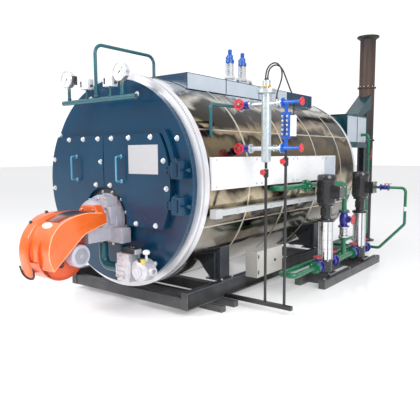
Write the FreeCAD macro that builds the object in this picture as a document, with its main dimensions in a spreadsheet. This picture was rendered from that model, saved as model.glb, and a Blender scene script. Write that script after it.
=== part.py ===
"""Packaged gas-fired fire-tube steam boiler with its burner, feed pumps, economiser and stack.

Millimetres. X runs to the right seen from the burner, Y runs back along the boiler, Z is up.
The front plate stands at y = 0 while the pieces are drawn; each finished sub-part is then moved
so that the origin lies on the floor under the middle of the whole set.
"""
import FreeCAD, Part
import math
import os
import re
import PartDesign
import Sketcher

doc = FreeCAD.newDocument("steam_boiler")
sheet = doc.addObject("Spreadsheet::Sheet", "sizes")

SIZES = [
    # boiler shell
    ("shell_radius", 1100), ("shell_axis_z", 1290), ("shell_front", 120), ("shell_rear", 3720),
    ("cladding_wall", 30), ("seat_gap", 0.3), ("ring_height", 4), ("ring_front", 60),
    ("ring_lap", 55), ("rear_plate_thickness", 14),
    # smokebox and its doors
    ("plate_inset", 55), ("plate_thickness", 14), ("barrel_wall", 12), ("smokebox_depth", 420),
    ("tube_sheet_thickness", 20), ("door_centre_x", -90), ("door_rim", 41),
    ("door_rise", 480), ("door_drop", 428), ("door_thickness", 60), ("door_gap", 5),
    ("seam_x", -100), ("seam_gap", 6), ("doorway_lip", 40),
    ("hinge_stand", 81), ("hinge_y", -80), ("hinge_radius", 46), ("hinge_height", 120),
    ("hinge_rise", 140), ("hinge_fall", 190), ("hinge_pin_radius", 16),
    ("pin_clearance", 0.08), ("lug_thickness", 20), ("hinge_gap", 1), ("strap_height", 70),
    ("handle_drop", 250), ("handle_reach", 70), ("handle_rod", 9), ("handle_rise", 265),
    ("left_handle_x", -545), ("handle_stand", 110), ("nameplate_width", 400),
    ("nameplate_height", 280), ("nameplate_stand", 630), ("nameplate_rise", 95),
    ("nameplate_thickness", 3), ("arm_gap", 18), ("arm_width", 48), ("arm_depth", 45),
    ("arm_start", 14), ("arm_sweep", 18),
    # burner
    ("burner_x", -100), ("burner_drop", 376), ("burner_cutout", 330), ("throat_radius", 345),
    ("flange_radius", 300), ("flange_thickness", 22), ("head_radius", 248), ("head_depth", 130),
    ("head_nose_radius", 205), ("head_nose_depth", 78), ("housing_left", -330),
    ("housing_right", 120), ("scroll_y", -660), ("scroll_drop", 259), ("scroll_radius", 270),
    ("scroll_right", -20), ("motor_y", -545), ("motor_drop", 302), ("motor_radius", 108),
    ("motor_length", 130), ("hood_reach", 947),
    # gas train
    ("gas_y", -150), ("gas_pipe_radius", 48), ("gas_drop", 474), ("gas_block_left", 245),
    ("gas_block_right", 415), ("gas_block_drop", 105), ("gas_block_height", 275),
    ("regulator_x", 535), ("regulator_radius", 105), ("regulator_depth", 170),
    ("gas_inlet_radius", 25), ("gas_inlet_depth", 40),
    # gauge header
    ("header_y", -200), ("header_rise", 820), ("header_left", -552), ("header_right", 540),
    ("header_radius", 24), ("feed_x", -20), ("feed_radius", 17), ("feed_rise", 238),
    ("feed_foot_y", 620), ("feed_bend", 90), ("gauge_radius", 88), ("gauge_depth", 55),
    ("gauge_rise", 235), ("gauge_left_x", -450), ("gauge_right_x", 355), ("switch_left_x", -165),
    ("switch_right_x", 190), ("switch_width", 130), ("switch_height", 95), ("riser_radius", 11),
    ("switch_rise", 115),
    # walkway and safety valves
    ("deck_half_width", 543), ("deck_front", 512), ("deck_inset", 340), ("deck_rise", 22),
    ("safety_first_y", 2050), ("safety_pitch", 295), ("safety_height", 540),
    # frame
    ("foot_height", 60), ("beam_height", 174), ("beam_width", 75), ("beam_web", 9),
    ("beam_flange", 12), ("frame_inset", 204), ("frame_front", 86), ("frame_tail", 230),
    ("cross_height", 110), ("cross_width", 80), ("sleeper_inset", 20), ("sleeper_width", 70),
    ("leg_inset", 250), ("foot_inset", 380), ("shoulder_inset", 520), ("leg_depth", 160),
    ("front_leg_y", 680), ("rear_leg_inset", 820),
    # level column and gauge glass
    ("column_stand", 240), ("column_y", 700), ("column_foot", 135), ("column_head", 130),
    ("column_radius", 48), ("cap_radius", 38), ("cable_radius", 7), ("upper_rise", 760),
    ("lower_rise", 335), ("valve_stand", 50),
    ("valve_half", 62), ("valve_flange", 46), ("branch_radius", 17), ("branch_inset", 107),
    ("branch_lead", 365), ("stem_reach", 112),
    ("stem_radius", 9), ("wheel_radius", 58), ("wheel_rim", 9), ("glass_stand", 217), ("glass_half", 44),
    ("glass_wheel_stand", 155), ("glass_wheel_radius", 40), ("sensor_radius", 30), ("sensor_height", 190),
    ("drain_radius", 14), ("collector_lap", 85), ("collector_z", 80), ("collector_half", 20),
    # side fittings
    ("sign_front", 135), ("sign_inset", 770), ("sign_drop", 55), ("sign_rise", 255),
    ("sign_stand", 22), ("tray_front", 250), ("tray_inset", 220), ("tray_drop", 305),
    ("tray_height", 55), ("tray_width", 50), ("box_front", 1090), ("box_rear", 1640),
    ("box_bottom", 205), ("box_top", 500), ("box_depth", 155),
    # feed pumps
    ("skid_inside", 250), ("skid_outside", 140), ("skid_lead", 300), ("skid_tail", 460),
    ("skid_height", 100), ("pump_stand", 300), ("pump_one_y", 2080), ("pump_two_y", 3180),
    ("pump_foot", 75), ("tube_radius", 75), ("tube_top", 760), ("lantern_top", 960),
    ("pump_motor_radius", 106), ("pump_motor_top", 1325), ("port_z", 235), ("pipe_radius", 30),
    ("pipe_flange", 72), ("riser_step", 550), ("suction_stand", 185), ("loop_lead", 790),
    ("bypass_reach", 480), ("bypass_z", 1090), ("bypass_low", 585), ("bypass_radius", 20),
    ("bypass_valve_reach", 130), ("delivery_drop", 98),
    # economiser and stack
    ("eco_feed_radius", 24), ("eco_feed_stand", 130), ("eco_feed_lead", 610),
    ("eco_feed_rise", 140),
    ("eco_left", -200), ("eco_right", 800), ("eco_stand", 390), ("eco_depth", 840),
    ("eco_rise", 450), ("eco_height", 450), ("post_size", 80), ("stand_beam", 70),
    ("stack_x", 660), ("stack_stand", 350), ("stack_radius", 132), ("stack_wall", 6),
    ("stack_top", 3600), ("stack_bore", 900), ("stack_rim", 184), ("duct_half", 125),
    ("duct_inset", 250), ("duct_rise", 450), ("bend_ratio", 2.2),
]
# Places and sizes that follow from others, each a sum of them.
FITS = {
    "plate_radius": "shell_radius - plate_inset",
    "door_radius": "plate_radius - door_rim + door_centre_x",
    "hinge_x": "door_centre_x + door_radius + hinge_stand",
    "nameplate_x": "hinge_x - nameplate_stand",
    "right_handle_x": "nameplate_x - handle_stand",
    "arm_inner": "door_radius + arm_gap",
    "arm_outer": "arm_inner + arm_width",
    "sign_outer": "shell_radius + sign_stand",
    "tray_outer": "shell_radius + tray_width",
    "door_top": "shell_axis_z + door_rise",
    "door_bottom": "shell_axis_z - door_drop",
    "burner_z": "shell_axis_z - burner_drop",
    "hinge_upper_z": "shell_axis_z + hinge_rise",
    "hinge_lower_z": "shell_axis_z - hinge_fall",
    "handle_top_z": "shell_axis_z + handle_rise",
    "nameplate_z": "shell_axis_z + nameplate_rise",
    "header_z": "shell_axis_z + header_rise",
    "gauge_z": "header_z + gauge_rise",
    "switch_z": "header_z + switch_rise",
    "deck_top": "shell_axis_z + shell_radius + deck_rise",
    "feed_top": "deck_top + feed_rise",
    "upper_z": "shell_axis_z + upper_rise",
    "lower_z": "shell_axis_z + lower_rise",
    "column_bottom": "lower_z - column_foot",
    "column_top": "upper_z + column_head",
    "sign_bottom": "shell_axis_z - sign_drop",
    "sign_top": "shell_axis_z + sign_rise",
    "tray_bottom": "shell_axis_z - tray_drop",
    "tray_top": "tray_bottom + tray_height",
    "delivery_z": "shell_axis_z - delivery_drop",
    "eco_bottom": "shell_axis_z + eco_rise",
    "eco_top": "eco_bottom + eco_height",
    "duct_joint_z": "eco_top + duct_rise",
    "scroll_z": "burner_z - scroll_drop",
    "motor_z": "burner_z - motor_drop",
    "gas_line_z": "burner_z - gas_drop",
    "gas_block_bottom": "gas_line_z - gas_block_drop",
    "gas_block_top": "gas_block_bottom + gas_block_height",
    "valve_x": "shell_radius + valve_stand",
    "column_x": "valve_x + column_stand",
    "glass_x": "column_x + glass_stand",
    "glass_wheel_x": "glass_x + glass_wheel_stand",
    "collector_end": "glass_x + collector_lap",
    "frame_half": "shell_radius - frame_inset",
    "sleeper_half": "shell_radius - sleeper_inset",
    "leg_outer": "shell_radius - leg_inset",
    "leg_foot": "shell_radius - foot_inset",
    "leg_shoulder": "shell_radius - shoulder_inset",
    "frame_rear": "shell_rear + frame_tail",
    "rear_leg_y": "shell_rear - rear_leg_inset",
    "deck_rear": "shell_rear - deck_inset",
    "sign_rear": "shell_rear - sign_inset",
    "tray_rear": "shell_rear - tray_inset",
    "eco_front": "shell_rear + eco_stand",
    "eco_rear": "eco_front + eco_depth",
    "stack_y": "eco_rear + stack_stand",
    "duct_foot_y": "eco_rear - duct_inset",
    "pump_x": "shell_radius + pump_stand",
    "skid_inner": "pump_x - skid_inside",
    "skid_outer": "pump_x + skid_outside",
    "suction_x": "pump_x - suction_stand",
    "bypass_x": "pump_x + bypass_reach",
    "bypass_valve_x": "pump_x + bypass_valve_reach",
    "skid_front": "pump_one_y - skid_lead",
    "skid_rear": "pump_two_y + skid_tail",
    "riser_y": "pump_one_y + riser_step",
    "loop_y": "pump_one_y - loop_lead",
}
ALIASES = [name for name, _ in SIZES]
for line, (name, number) in enumerate(SIZES, start=1):
    sheet.set(f"A{line}", name)
    sheet.set(f"B{line}", str(number))
    sheet.setAlias(f"B{line}", name)
doc.recompute()
WORD = re.compile(r"\b(" + "|".join(ALIASES) + r")\b")
FIT_WORD = re.compile(r"\b(" + "|".join(FITS) + r")\b")


def bound(text):
    """An expression in which each size's plain name points at its cell."""
    text = str(text)
    while FIT_WORD.search(text):
        text = FIT_WORD.sub(lambda found: "(" + FITS[found.group()] + ")", text)
    return WORD.sub(r"sizes.\1", text)


def size(name):
    """The number now in a size's cell, or the sum that a fit gives."""
    if name in FITS:
        terms = re.findall(r"([+-]?)\s*(\w+)", FITS[name])
        return sum(-size(word) if sign == "-" else size(word) for sign, word in terms)
    return float(sheet.get(name))


def bind(thing, **links):
    """Tie properties to expressions of the sizes."""
    for prop, text in links.items():
        thing.setExpression(prop, bound(text))
    return thing


def at(thing, x="0", y="0", z="0", turn=None):
    """Put a piece where expressions say, turned so that its own +Z points along turn."""
    if turn is not None:
        thing.Placement.Rotation = FreeCAD.Rotation(FreeCAD.Vector(0, 0, 1), FreeCAD.Vector(*turn))
    for letter, text in (("x", x), ("y", y), ("z", z)):
        thing.setExpression("Placement.Base." + letter, bound(text))
    return thing


def block(name, x, y, z):
    """A box from three (low, high) pairs of expressions."""
    thing = doc.addObject("Part::Box", name)
    bind(thing, Length=f"({x[1]}) - ({x[0]})", Width=f"({y[1]}) - ({y[0]})",
         Height=f"({z[1]}) - ({z[0]})")
    return at(thing, x[0], y[0], z[0])


def rod(name, radius, length, x, y, z, turn):
    """A round bar that starts at a point and runs along turn."""
    thing = doc.addObject("Part::Cylinder", name)
    bind(thing, Radius=radius, Height=length)
    return at(thing, x, y, z, turn)


def cut(name, base, tool):
    thing = doc.addObject("Part::Cut", name)
    thing.Base = base
    thing.Tool = tool
    return thing


def common(name, base, tool):
    thing = doc.addObject("Part::Common", name)
    thing.Base = base
    thing.Tool = tool
    return thing


def fuse(name, pieces):
    thing = doc.addObject("Part::MultiFuse", name)
    thing.Shapes = pieces
    return thing


def draw(body, plane, corners):
    """A closed outline of straight edges on one of the body's own planes.

    Each corner is a pair of expressions, and each is held by two dimensions from the origin.
    """
    sketch = body.newObject("Sketcher::SketchObject", body.Name + "_outline")
    support = next(item for item in body.Origin.OriginFeatures if item.Role == plane)
    sketch.AttachmentSupport = (support, "")
    sketch.MapMode = "FlatFace"
    spread = [FreeCAD.Vector(math.cos(step), math.sin(step), 0) * 100
              for step in (2 * math.pi * k / len(corners) for k in range(len(corners)))]
    for k, start in enumerate(spread):
        sketch.addGeometry(Part.LineSegment(start, spread[(k + 1) % len(spread)]), False)
    for k in range(len(corners)):
        sketch.addConstraint(Sketcher.Constraint("Coincident", k, 2, (k + 1) % len(corners), 1))
    for k, (across, along) in enumerate(corners):
        for kind, text in (("DistanceX", across), ("DistanceY", along)):
            index = sketch.addConstraint(Sketcher.Constraint(kind, -1, 1, k, 1, 1.0))
            sketch.setExpression(f"Constraints[{index}]", bound(text))
    return sketch


def turned(name, profile, x="0", y="0", z="0", turn=(0, 0, 1)):
    """A solid of revolution: (radius, height) corners turned about an axis along turn."""
    body = doc.addObject("PartDesign::Body", name)
    sketch = draw(body, "XZ_Plane", profile)
    spin = body.newObject("PartDesign::Revolution", name + "_turn")
    spin.Profile = sketch
    spin.ReferenceAxis = (sketch, ["V_Axis"])
    spin.Angle = 360
    return at(body, x, y, z, turn)


def plate(name, plane, corners, thickness, x="0", y="0", z="0", reverse=False):
    """A flat outline padded to a thickness."""
    body = doc.addObject("PartDesign::Body", name)
    sketch = draw(body, plane, corners)
    pad = body.newObject("PartDesign::Pad", name + "_pad")
    pad.Profile = sketch
    pad.setExpression("Length", bound(thickness))
    pad.Reversed = reverse
    return at(body, x, y, z)


def route(points, bends):
    """A wire of straight runs whose corners are tangent arcs, each with its own radius."""
    path = [FreeCAD.Vector(*point) for point in points]
    edges = []
    last = path[0]
    for before, corner, after, bend in zip(path, path[1:], path[2:], bends):
        into = (corner - before).normalize()
        out = (after - corner).normalize()
        half = into.getAngle(out) / 2
        back = bend * math.tan(half)
        inward = (out - into).normalize()
        start = corner - into * back
        end = corner + out * back
        middle = corner + inward * (bend / math.cos(half) - bend)
        edges.append(Part.LineSegment(last, start).toShape())
        edges.append(Part.Arc(start, middle, end).toShape())
        last = end
    edges.append(Part.LineSegment(last, path[-1]).toShape())
    return Part.Wire(edges)


def bent_pipe(name, points, radius, bend):
    """A solid round pipe along a route; each point is a triple of numbers."""
    wire = route(points, [bend] * (len(points) - 2))
    start = FreeCAD.Vector(*points[0])
    heading = FreeCAD.Vector(*points[1]) - start
    section = Part.Wire(Part.Circle(start, heading, radius).toShape())
    thing = doc.addObject("Part::Feature", name)
    thing.Shape = wire.makePipeShell([section], True, True)
    return thing


def cable(name, points, radius):
    """A free cable along a hand-set route, each bend as wide as its two runs allow."""
    path = [FreeCAD.Vector(*point) for point in points]
    bends = []
    for before, corner, after in zip(path, path[1:], path[2:]):
        half = (corner - before).getAngle(after - corner) / 2
        run = min((corner - before).Length, (after - corner).Length)
        bends.append(0.45 * run / math.tan(half))
    wire = route(points, bends)
    section = Part.Wire(Part.Circle(path[0], path[1] - path[0], radius).toShape())
    thing = doc.addObject("Part::Feature", name)
    thing.Shape = wire.makePipeShell([section], True, False)
    share = thing.Shape.Volume / (math.pi * radius ** 2 * wire.Length)
    print(f"{name}: length {wire.Length:.0f}, smallest bend {min(bends):.0f}, "
          f"volume over section times length {share:.4f}")
    return thing


def clear_of_shell(name, piece):
    """What is left of a piece outside the cladding, a seat gap away from it."""
    room = rod(name + "_room", "shell_radius + seat_gap", "shell_rear - ring_front + 400",
               "0", "ring_front - 200", "shell_axis_z", (0, 1, 0))
    return cut(name, piece, room)


NODES = []


def node(label, pieces):
    """A finished sub-part: its solids, moved so that the origin is under the set's middle."""
    thing = doc.addObject("Part::Compound", label)
    thing.Links = pieces
    thing.Label = label
    at(thing, "(shell_radius + ring_height - bypass_x - bypass_radius) / 2",
       "(hood_reach - stack_y - stack_rim) / 2", "0")
    NODES.append(thing)
    return thing


# --- base frame: two channels, four cross members and the sleepers they stand on -------------

def channel(name, side):
    """One long channel with its open side outwards and its front end closed by a plate."""
    inner = "frame_half - beam_width"
    base, top = "foot_height", "foot_height + beam_height"
    corners = [(inner, base), ("frame_half", base), ("frame_half", base + " + beam_flange"),
               (inner + " + beam_web", base + " + beam_flange"),
               (inner + " + beam_web", top + " - beam_flange"),
               ("frame_half", top + " - beam_flange"), ("frame_half", top), (inner, top)]
    if side < 0:
        corners = [(f"-({across})", along) for across, along in corners]
    rail = plate(name + "_rail", "XZ_Plane", corners, "frame_rear - frame_front",
                 y="frame_front", reverse=True)
    low, high = (inner, "frame_half") if side > 0 else ("-frame_half", f"-({inner})")
    cap = block(name + "_cap", (low, high), ("frame_front - beam_web", "frame_front"),
                (base, top))
    return fuse(name, [rail, cap])


node("long_beams", [channel("right_channel", 1), channel("left_channel", -1)])

CROSS_AT = ["frame_front", "front_leg_y + 40", "rear_leg_y + 40", "frame_rear - cross_width"]
cross_reach = "(frame_half - beam_width)"
crosses = [
    block(f"cross_{k}", ("-" + cross_reach, cross_reach), (start, f"{start} + cross_width"),
          ("foot_height", "foot_height + cross_height"))
    for k, start in enumerate(CROSS_AT)]

SLEEPERS_AT = ["frame_front + 300", "frame_front + 520", "frame_rear - 650", "frame_rear - 430"]
sleepers = [
    block(f"sleeper_{k}", ("-sleeper_half", "sleeper_half"), (start, f"{start} + sleeper_width"),
          ("0", "foot_height"))
    for k, start in enumerate(SLEEPERS_AT)]
node("frame_cross_members", crosses + sleepers)


def leg(name, side, start):
    """One saddle leg: narrow at the beam, wide under the shell, cut to the shell's curve."""
    base = "foot_height + beam_height"
    corners = [("leg_foot", base), ("leg_outer", base), ("leg_outer", "shell_axis_z - 600"),
               ("leg_shoulder", "shell_axis_z - 600"), ("leg_shoulder", base + " + 150")]
    if side < 0:
        corners = [(f"-({across})", along) for across, along in corners]
    post = plate(name + "_post", "XZ_Plane", corners, "leg_depth", y=start, reverse=True)
    return clear_of_shell(name, post)


node("saddle_legs", [leg(f"{row}_{hand}_leg", side, start)
                     for row, start in (("front", "front_leg_y"), ("rear", "rear_leg_y"))
                     for hand, side in (("right", 1), ("left", -1))])

# --- boiler shell, its trim rings and its rear end -------------------------------------------

LONG = (0, 1, 0)


def hoop(name, inner, outer, start, end):
    """A plain ring round the boiler's axis."""
    return turned(name, [(inner, "0"), (outer, "0"), (outer, f"({end}) - ({start})"),
                         (inner, f"({end}) - ({start})")], "0", start, "shell_axis_z", LONG)


SHEET_BACK = "smokebox_depth + tube_sheet_thickness"
node("front_cladding", [
    hoop("front_sheet", "shell_radius - cladding_wall", "shell_radius", "shell_front",
         SHEET_BACK)])
node("shell_cladding", [
    hoop("long_sheet", "shell_radius - cladding_wall", "shell_radius", SHEET_BACK,
         "shell_rear")])

front_ring = turned("front_ring", [
    ("plate_radius + seat_gap", "0"), ("shell_radius + ring_height", "0"),
    ("shell_radius + ring_height", "shell_front - ring_front + ring_lap"),
    ("shell_radius + seat_gap", "shell_front - ring_front + ring_lap"),
    ("shell_radius + seat_gap", "shell_front - ring_front"),
    ("plate_radius + seat_gap", "shell_front - ring_front")],
    "0", "ring_front", "shell_axis_z", LONG)

rear_ring = turned("rear_ring", [
    ("shell_radius + seat_gap", "0"), ("shell_radius + ring_height", "0"),
    ("shell_radius + ring_height", "ring_lap + 10"), ("shell_radius - 20", "ring_lap + 10"),
    ("shell_radius - 20", "ring_lap"), ("shell_radius + seat_gap", "ring_lap")],
    "0", "shell_rear - ring_lap", "shell_axis_z", LONG)
node("trim_rings", [front_ring, rear_ring])

rear_end = turned("rear_end", [
    ("0", "0"), ("shell_radius - 21", "0"), ("shell_radius - 21", "rear_plate_thickness"),
    ("0", "rear_plate_thickness")], "0", "shell_rear", "shell_axis_z", LONG)

inspection = turned("inspection_cover", [
    ("0", "0"), ("420", "0"), ("420", "34"), ("395", "60"), ("0", "60")],
    "0", "shell_rear + rear_plate_thickness", "shell_axis_z - 330", LONG)
node("rear_plate", [fuse("rear_plate_whole", [rear_end, inspection])])

# --- smokebox behind the front doors ---------------------------------------------------------

barrel = hoop("barrel", "plate_radius - barrel_wall", "plate_radius", "plate_thickness",
              "smokebox_depth")
throat = rod("throat", "throat_radius", "smokebox_depth - plate_thickness", "burner_x",
             "plate_thickness", "burner_z", LONG)
node("smokebox_barrel", [barrel, throat])

sheet_disc = turned("tube_sheet_disc", [
    ("0", "0"), ("shell_radius - cladding_wall - seat_gap", "0"),
    ("shell_radius - cladding_wall - seat_gap", "tube_sheet_thickness"),
    ("0", "tube_sheet_thickness")], "0", "smokebox_depth", "shell_axis_z", LONG)
node("tube_sheet", [sheet_disc])

plate_disc = rod("plate_disc", "plate_radius", "plate_thickness", "0", "0", "shell_axis_z", LONG)
doorway_disc = rod("doorway_disc", "door_radius - doorway_lip", "plate_thickness + 20",
                   "door_centre_x", "-10", "shell_axis_z", LONG)
doorway_band = block("doorway_band", ("-shell_radius", "shell_radius"),
                     ("-5", "plate_thickness + 5"),
                     ("door_bottom + doorway_lip", "door_top - doorway_lip"))
doorway_keep = rod("doorway_keep", "burner_cutout + doorway_lip", "plate_thickness + 20",
                   "burner_x", "-10", "burner_z", LONG)
doorway = cut("doorway", common("doorway_cut", doorway_disc, doorway_band), doorway_keep)
node("front_plate", [cut("front_plate_cut", plate_disc, doorway)])

# --- the two smokebox doors ------------------------------------------------------------------

DOOR_BACK = "(-door_gap)"
DOOR_FACE = "(-door_gap - door_thickness)"


def door(name, low, high, back):
    """One half of the round door, cut straight at top, bottom and seam, round at the burner."""
    disc = rod(name + "_disc", "door_radius", f"({back}) - {DOOR_FACE}", "door_centre_x",
               DOOR_FACE, "shell_axis_z", LONG)
    band = block(name + "_band", (low, high), (DOOR_FACE + " - 5", "5"),
                 ("door_bottom", "door_top"))
    hole = rod(name + "_hole", "burner_cutout", "door_thickness + 20", "burner_x",
               DOOR_FACE + " - 10", "burner_z", LONG)
    return cut(name, common(name + "_half", disc, band), hole)


left_leaf = door("left_leaf", "-shell_radius", "seam_x - seam_gap / 2", "0")
right_leaf = door("right_leaf", "seam_x + seam_gap / 2", "shell_radius", DOOR_BACK)

HINGES = {"upper": "hinge_upper_z", "lower": "hinge_lower_z"}
barrels = []
brackets = []
for name, level in HINGES.items():
    low = f"({level} - hinge_height / 2)"
    high = f"({level} + hinge_height / 2)"
    ring = turned(name + "_ring", [
        ("hinge_pin_radius + pin_clearance", "0"), ("hinge_radius", "0"),
        ("hinge_radius", "hinge_height"), ("hinge_pin_radius + pin_clearance", "hinge_height")],
        "hinge_x", "hinge_y", low)
    strap = block(name + "_strap", ("hinge_x - hinge_radius - 80", "hinge_x - hinge_pin_radius - 6"),
                  (DOOR_FACE + " - 26", DOOR_FACE),
                  (f"{level} - strap_height / 2", f"{level} + strap_height / 2"))
    barrels.append(fuse(name + "_barrel", [ring, strap]))
    pin = rod(name + "_pin", "hinge_pin_radius",
              "hinge_height + 2 * lug_thickness + 2 * hinge_gap", "hinge_x", "hinge_y",
              f"{low} - lug_thickness - hinge_gap", (0, 0, 1))
    bracket = [pin]
    for place, start in (("top", f"{high} + hinge_gap"),
                         ("foot", f"{low} - hinge_gap - lug_thickness")):
        bracket.append(block(f"{name}_{place}_lug", ("hinge_x - 30", "hinge_x + 78"),
                             ("hinge_y - 30", "0"), (start, f"{start} + lug_thickness")))
    bracket.append(block(name + "_web", ("hinge_x + hinge_radius + 8", "hinge_x + 78"),
                         ("hinge_y - 30", "0"),
                         (f"{low} - hinge_gap - lug_thickness",
                          f"{high} + hinge_gap + lug_thickness")))
    brackets.append(fuse(name + "_bracket", bracket))
node("right_door", [fuse("right_door_whole", [right_leaf] + barrels)])

arm = doc.addObject("Part::Cylinder", "arm_outer_disc")
bind(arm, Radius="arm_outer", Height="arm_depth", Angle="arm_sweep")
arm.Placement.Rotation = (FreeCAD.Rotation(FreeCAD.Vector(0, 1, 0), -size("arm_start"))
                          * FreeCAD.Rotation(FreeCAD.Vector(1, 0, 0), 90))
at(arm, "door_centre_x", "0", "shell_axis_z")
arm_room = rod("arm_room", "arm_inner", "arm_depth + 20", "door_centre_x", "-arm_depth - 10",
               "shell_axis_z", LONG)
node("hinge_brackets", brackets + [cut("swing_arm", arm, arm_room)])


def handle(name, x):
    """A bent rod that stands off the door between two feet."""
    face = -size("door_gap") - size("door_thickness")
    top = size("handle_top_z")
    foot = top - size("handle_drop")
    out = face - size("handle_reach")
    place = size(x)
    points = [(place, face, top), (place, out, top), (place, out, foot), (place, face, foot)]
    return bent_pipe(name, points, size("handle_rod"), size("handle_rod") * size("bend_ratio"))


node("left_door", [fuse("left_door_whole", [left_leaf, handle("left_grip", "left_handle_x")])])
node("right_door_handle", [handle("right_grip", "right_handle_x")])
node("nameplate", [
    block("name_sheet", ("nameplate_x", "nameplate_x + nameplate_width"),
          (DOOR_FACE + " - nameplate_thickness", DOOR_FACE),
          ("nameplate_z", "nameplate_z + nameplate_height"))])

# --- burner ----------------------------------------------------------------------------------

FRONT = (0, -1, 0)
node("burner_flange", [
    rod("burner_disc", "flange_radius", "flange_thickness", "burner_x", "0", "burner_z", FRONT)])

head_drum = turned("head_drum", [
    ("0", "0"), ("head_radius", "0"), ("head_radius", "head_depth - 30"),
    ("head_nose_radius", "head_depth"), ("head_nose_radius", "head_depth + head_nose_depth"),
    ("0", "head_depth + head_nose_depth")],
    "burner_x", "-flange_thickness", "burner_z", FRONT)
head_port = block("head_port", ("burner_x + 120", "burner_x + 350"),
                  ("-flange_thickness - head_depth", "-flange_thickness - 14"),
                  ("burner_z - 224", "burner_z - 74"))
head_tray = block("head_tray", ("burner_x - 150", "burner_x + 190"),
                  ("-flange_thickness - head_depth - 290", "-flange_thickness - head_depth"),
                  ("burner_z - 200", "burner_z - 60"))
HEAD_END = "(flange_thickness + head_depth + head_nose_depth)"

HOOD = [("-" + HEAD_END, "burner_z - 20"), ("-" + HEAD_END, "burner_z + 88"),
        ("-430", "burner_z + 106"), ("-590", "burner_z + 98"), ("-720", "burner_z + 62"),
        ("-820", "burner_z - 8"), ("-890", "burner_z - 95"), ("-932", "burner_z - 195"),
        ("-hood_reach", "burner_z - 300"), ("-862", "burner_z - 396"),
        ("-525", "burner_z - 111"), ("-375", "burner_z - 58")]
hood = plate("hood", "YZ_Plane", HOOD, "housing_right - housing_left", x="housing_left")
tray_room = block("tray_room", ("burner_x - 152", "burner_x + 192"),
                  ("-flange_thickness - head_depth - 292", "-flange_thickness - head_depth"),
                  ("burner_z - 202", "burner_z - 58"))
node("burner_hood", [cut("hood_cut", hood, tray_room)])
head = fuse("head", [head_drum, head_port, head_tray])
node("burner_head", [head])

scroll = rod("scroll", "scroll_radius", "scroll_right - housing_left", "housing_left",
             "scroll_y", "scroll_z", (1, 0, 0))
hood_room = plate("hood_room", "YZ_Plane", HOOD, "housing_right - housing_left + 20",
                  x="housing_left - 10")
scroll_tray = block("scroll_tray", ("burner_x - 153", "burner_x + 193"),
                    ("-flange_thickness - head_depth - 293", "-flange_thickness"),
                    ("burner_z - 203", "burner_z"))
node("fan_scroll", [cut("scroll_cut", cut("scroll_under_hood", scroll, hood_room), scroll_tray)])
fan_motor = turned("fan_motor", [
    ("0", "0"), ("motor_radius - 8", "0"), ("motor_radius - 8", "24"), ("motor_radius", "30"),
    ("motor_radius", "motor_length - 10"), ("motor_radius - 10", "motor_length"),
    ("0", "motor_length")], "scroll_right", "motor_y", "motor_z", (1, 0, 0))
node("burner_motor", [fan_motor])

# --- gas train -------------------------------------------------------------------------------

gas_drop = bent_pipe("gas_drop", [
    (size("burner_x") + 60, size("gas_y"), size("burner_z") - 300),
    (size("burner_x") + 60, size("gas_y"), size("gas_line_z")),
    (size("gas_block_left"), size("gas_y"), size("gas_line_z"))],
    size("gas_pipe_radius"), size("gas_pipe_radius") * 1.9)
gas_neck = rod("gas_neck", "gas_pipe_radius", "60", "burner_x + 60", "gas_y",
               "burner_z - 300", (0, 0, 1))
gas_room = rod("gas_room", "head_radius + seat_gap", "head_depth + 80", "burner_x", "0",
               "burner_z", FRONT)
node("gas_pipe", [cut("gas_pipe_cut", fuse("gas_pipe_whole", [gas_drop, gas_neck]), gas_room)])

gas_block = block("gas_block", ("gas_block_left", "gas_block_right"),
                  ("gas_y - 75", "gas_y + 75"), ("gas_block_bottom", "gas_block_top"))
gas_coil = block("gas_coil", ("gas_block_left + 40", "gas_block_right + 60"),
                 ("gas_y - 40", "gas_y + 40"), ("gas_block_top", "gas_block_top + 46"))

MID_GAS = "(gas_block_bottom + gas_block_top) / 2 - 10"
regulator_drum = turned("regulator_drum", [
    ("0", "0"), ("regulator_radius - 20", "0"), ("regulator_radius", "14"),
    ("regulator_radius", "regulator_depth - 30"), ("regulator_radius - 34", "regulator_depth"),
    ("0", "regulator_depth")],
    "regulator_x", "gas_y + regulator_depth / 2", MID_GAS, FRONT)
regulator_neck = rod("regulator_neck", "gas_pipe_radius - 8",
                     "regulator_x - gas_block_right", "gas_block_right", "gas_y", MID_GAS,
                     (1, 0, 0))
regulator_inlet = rod("regulator_inlet", "gas_inlet_radius + 16",
                      "regulator_radius + gas_inlet_depth", "regulator_x", "gas_y", MID_GAS,
                      (1, 0, 0))
inlet_bore = rod("inlet_bore", "gas_inlet_radius", "gas_inlet_depth",
                 "regulator_x + regulator_radius", "gas_y", MID_GAS, (1, 0, 0))
node("gas_valve_train", [cut("gas_train", fuse("gas_train_solid", [
    gas_block, gas_coil, regulator_drum, regulator_neck, regulator_inlet]), inlet_bore)])

# --- gauge header over the front plate -------------------------------------------------------

header_bar = rod("header_bar", "header_radius", "header_right - header_left", "header_left",
                 "header_y", "header_z", (1, 0, 0))
risers = [rod(f"riser_{k}", radius, f"{level} - header_z", place, "header_y", "header_z",
              (0, 0, 1))
          for k, (place, level, radius) in enumerate((
              ("gauge_left_x", "gauge_z - gauge_radius - 2", "riser_radius + 5"),
              ("gauge_right_x", "gauge_z - gauge_radius - 2", "riser_radius + 5"),
              ("switch_left_x", "switch_z", "riser_radius"),
              ("switch_right_x", "switch_z", "riser_radius")))]
node("gauge_header", [fuse("header", [header_bar] + risers)])


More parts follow.
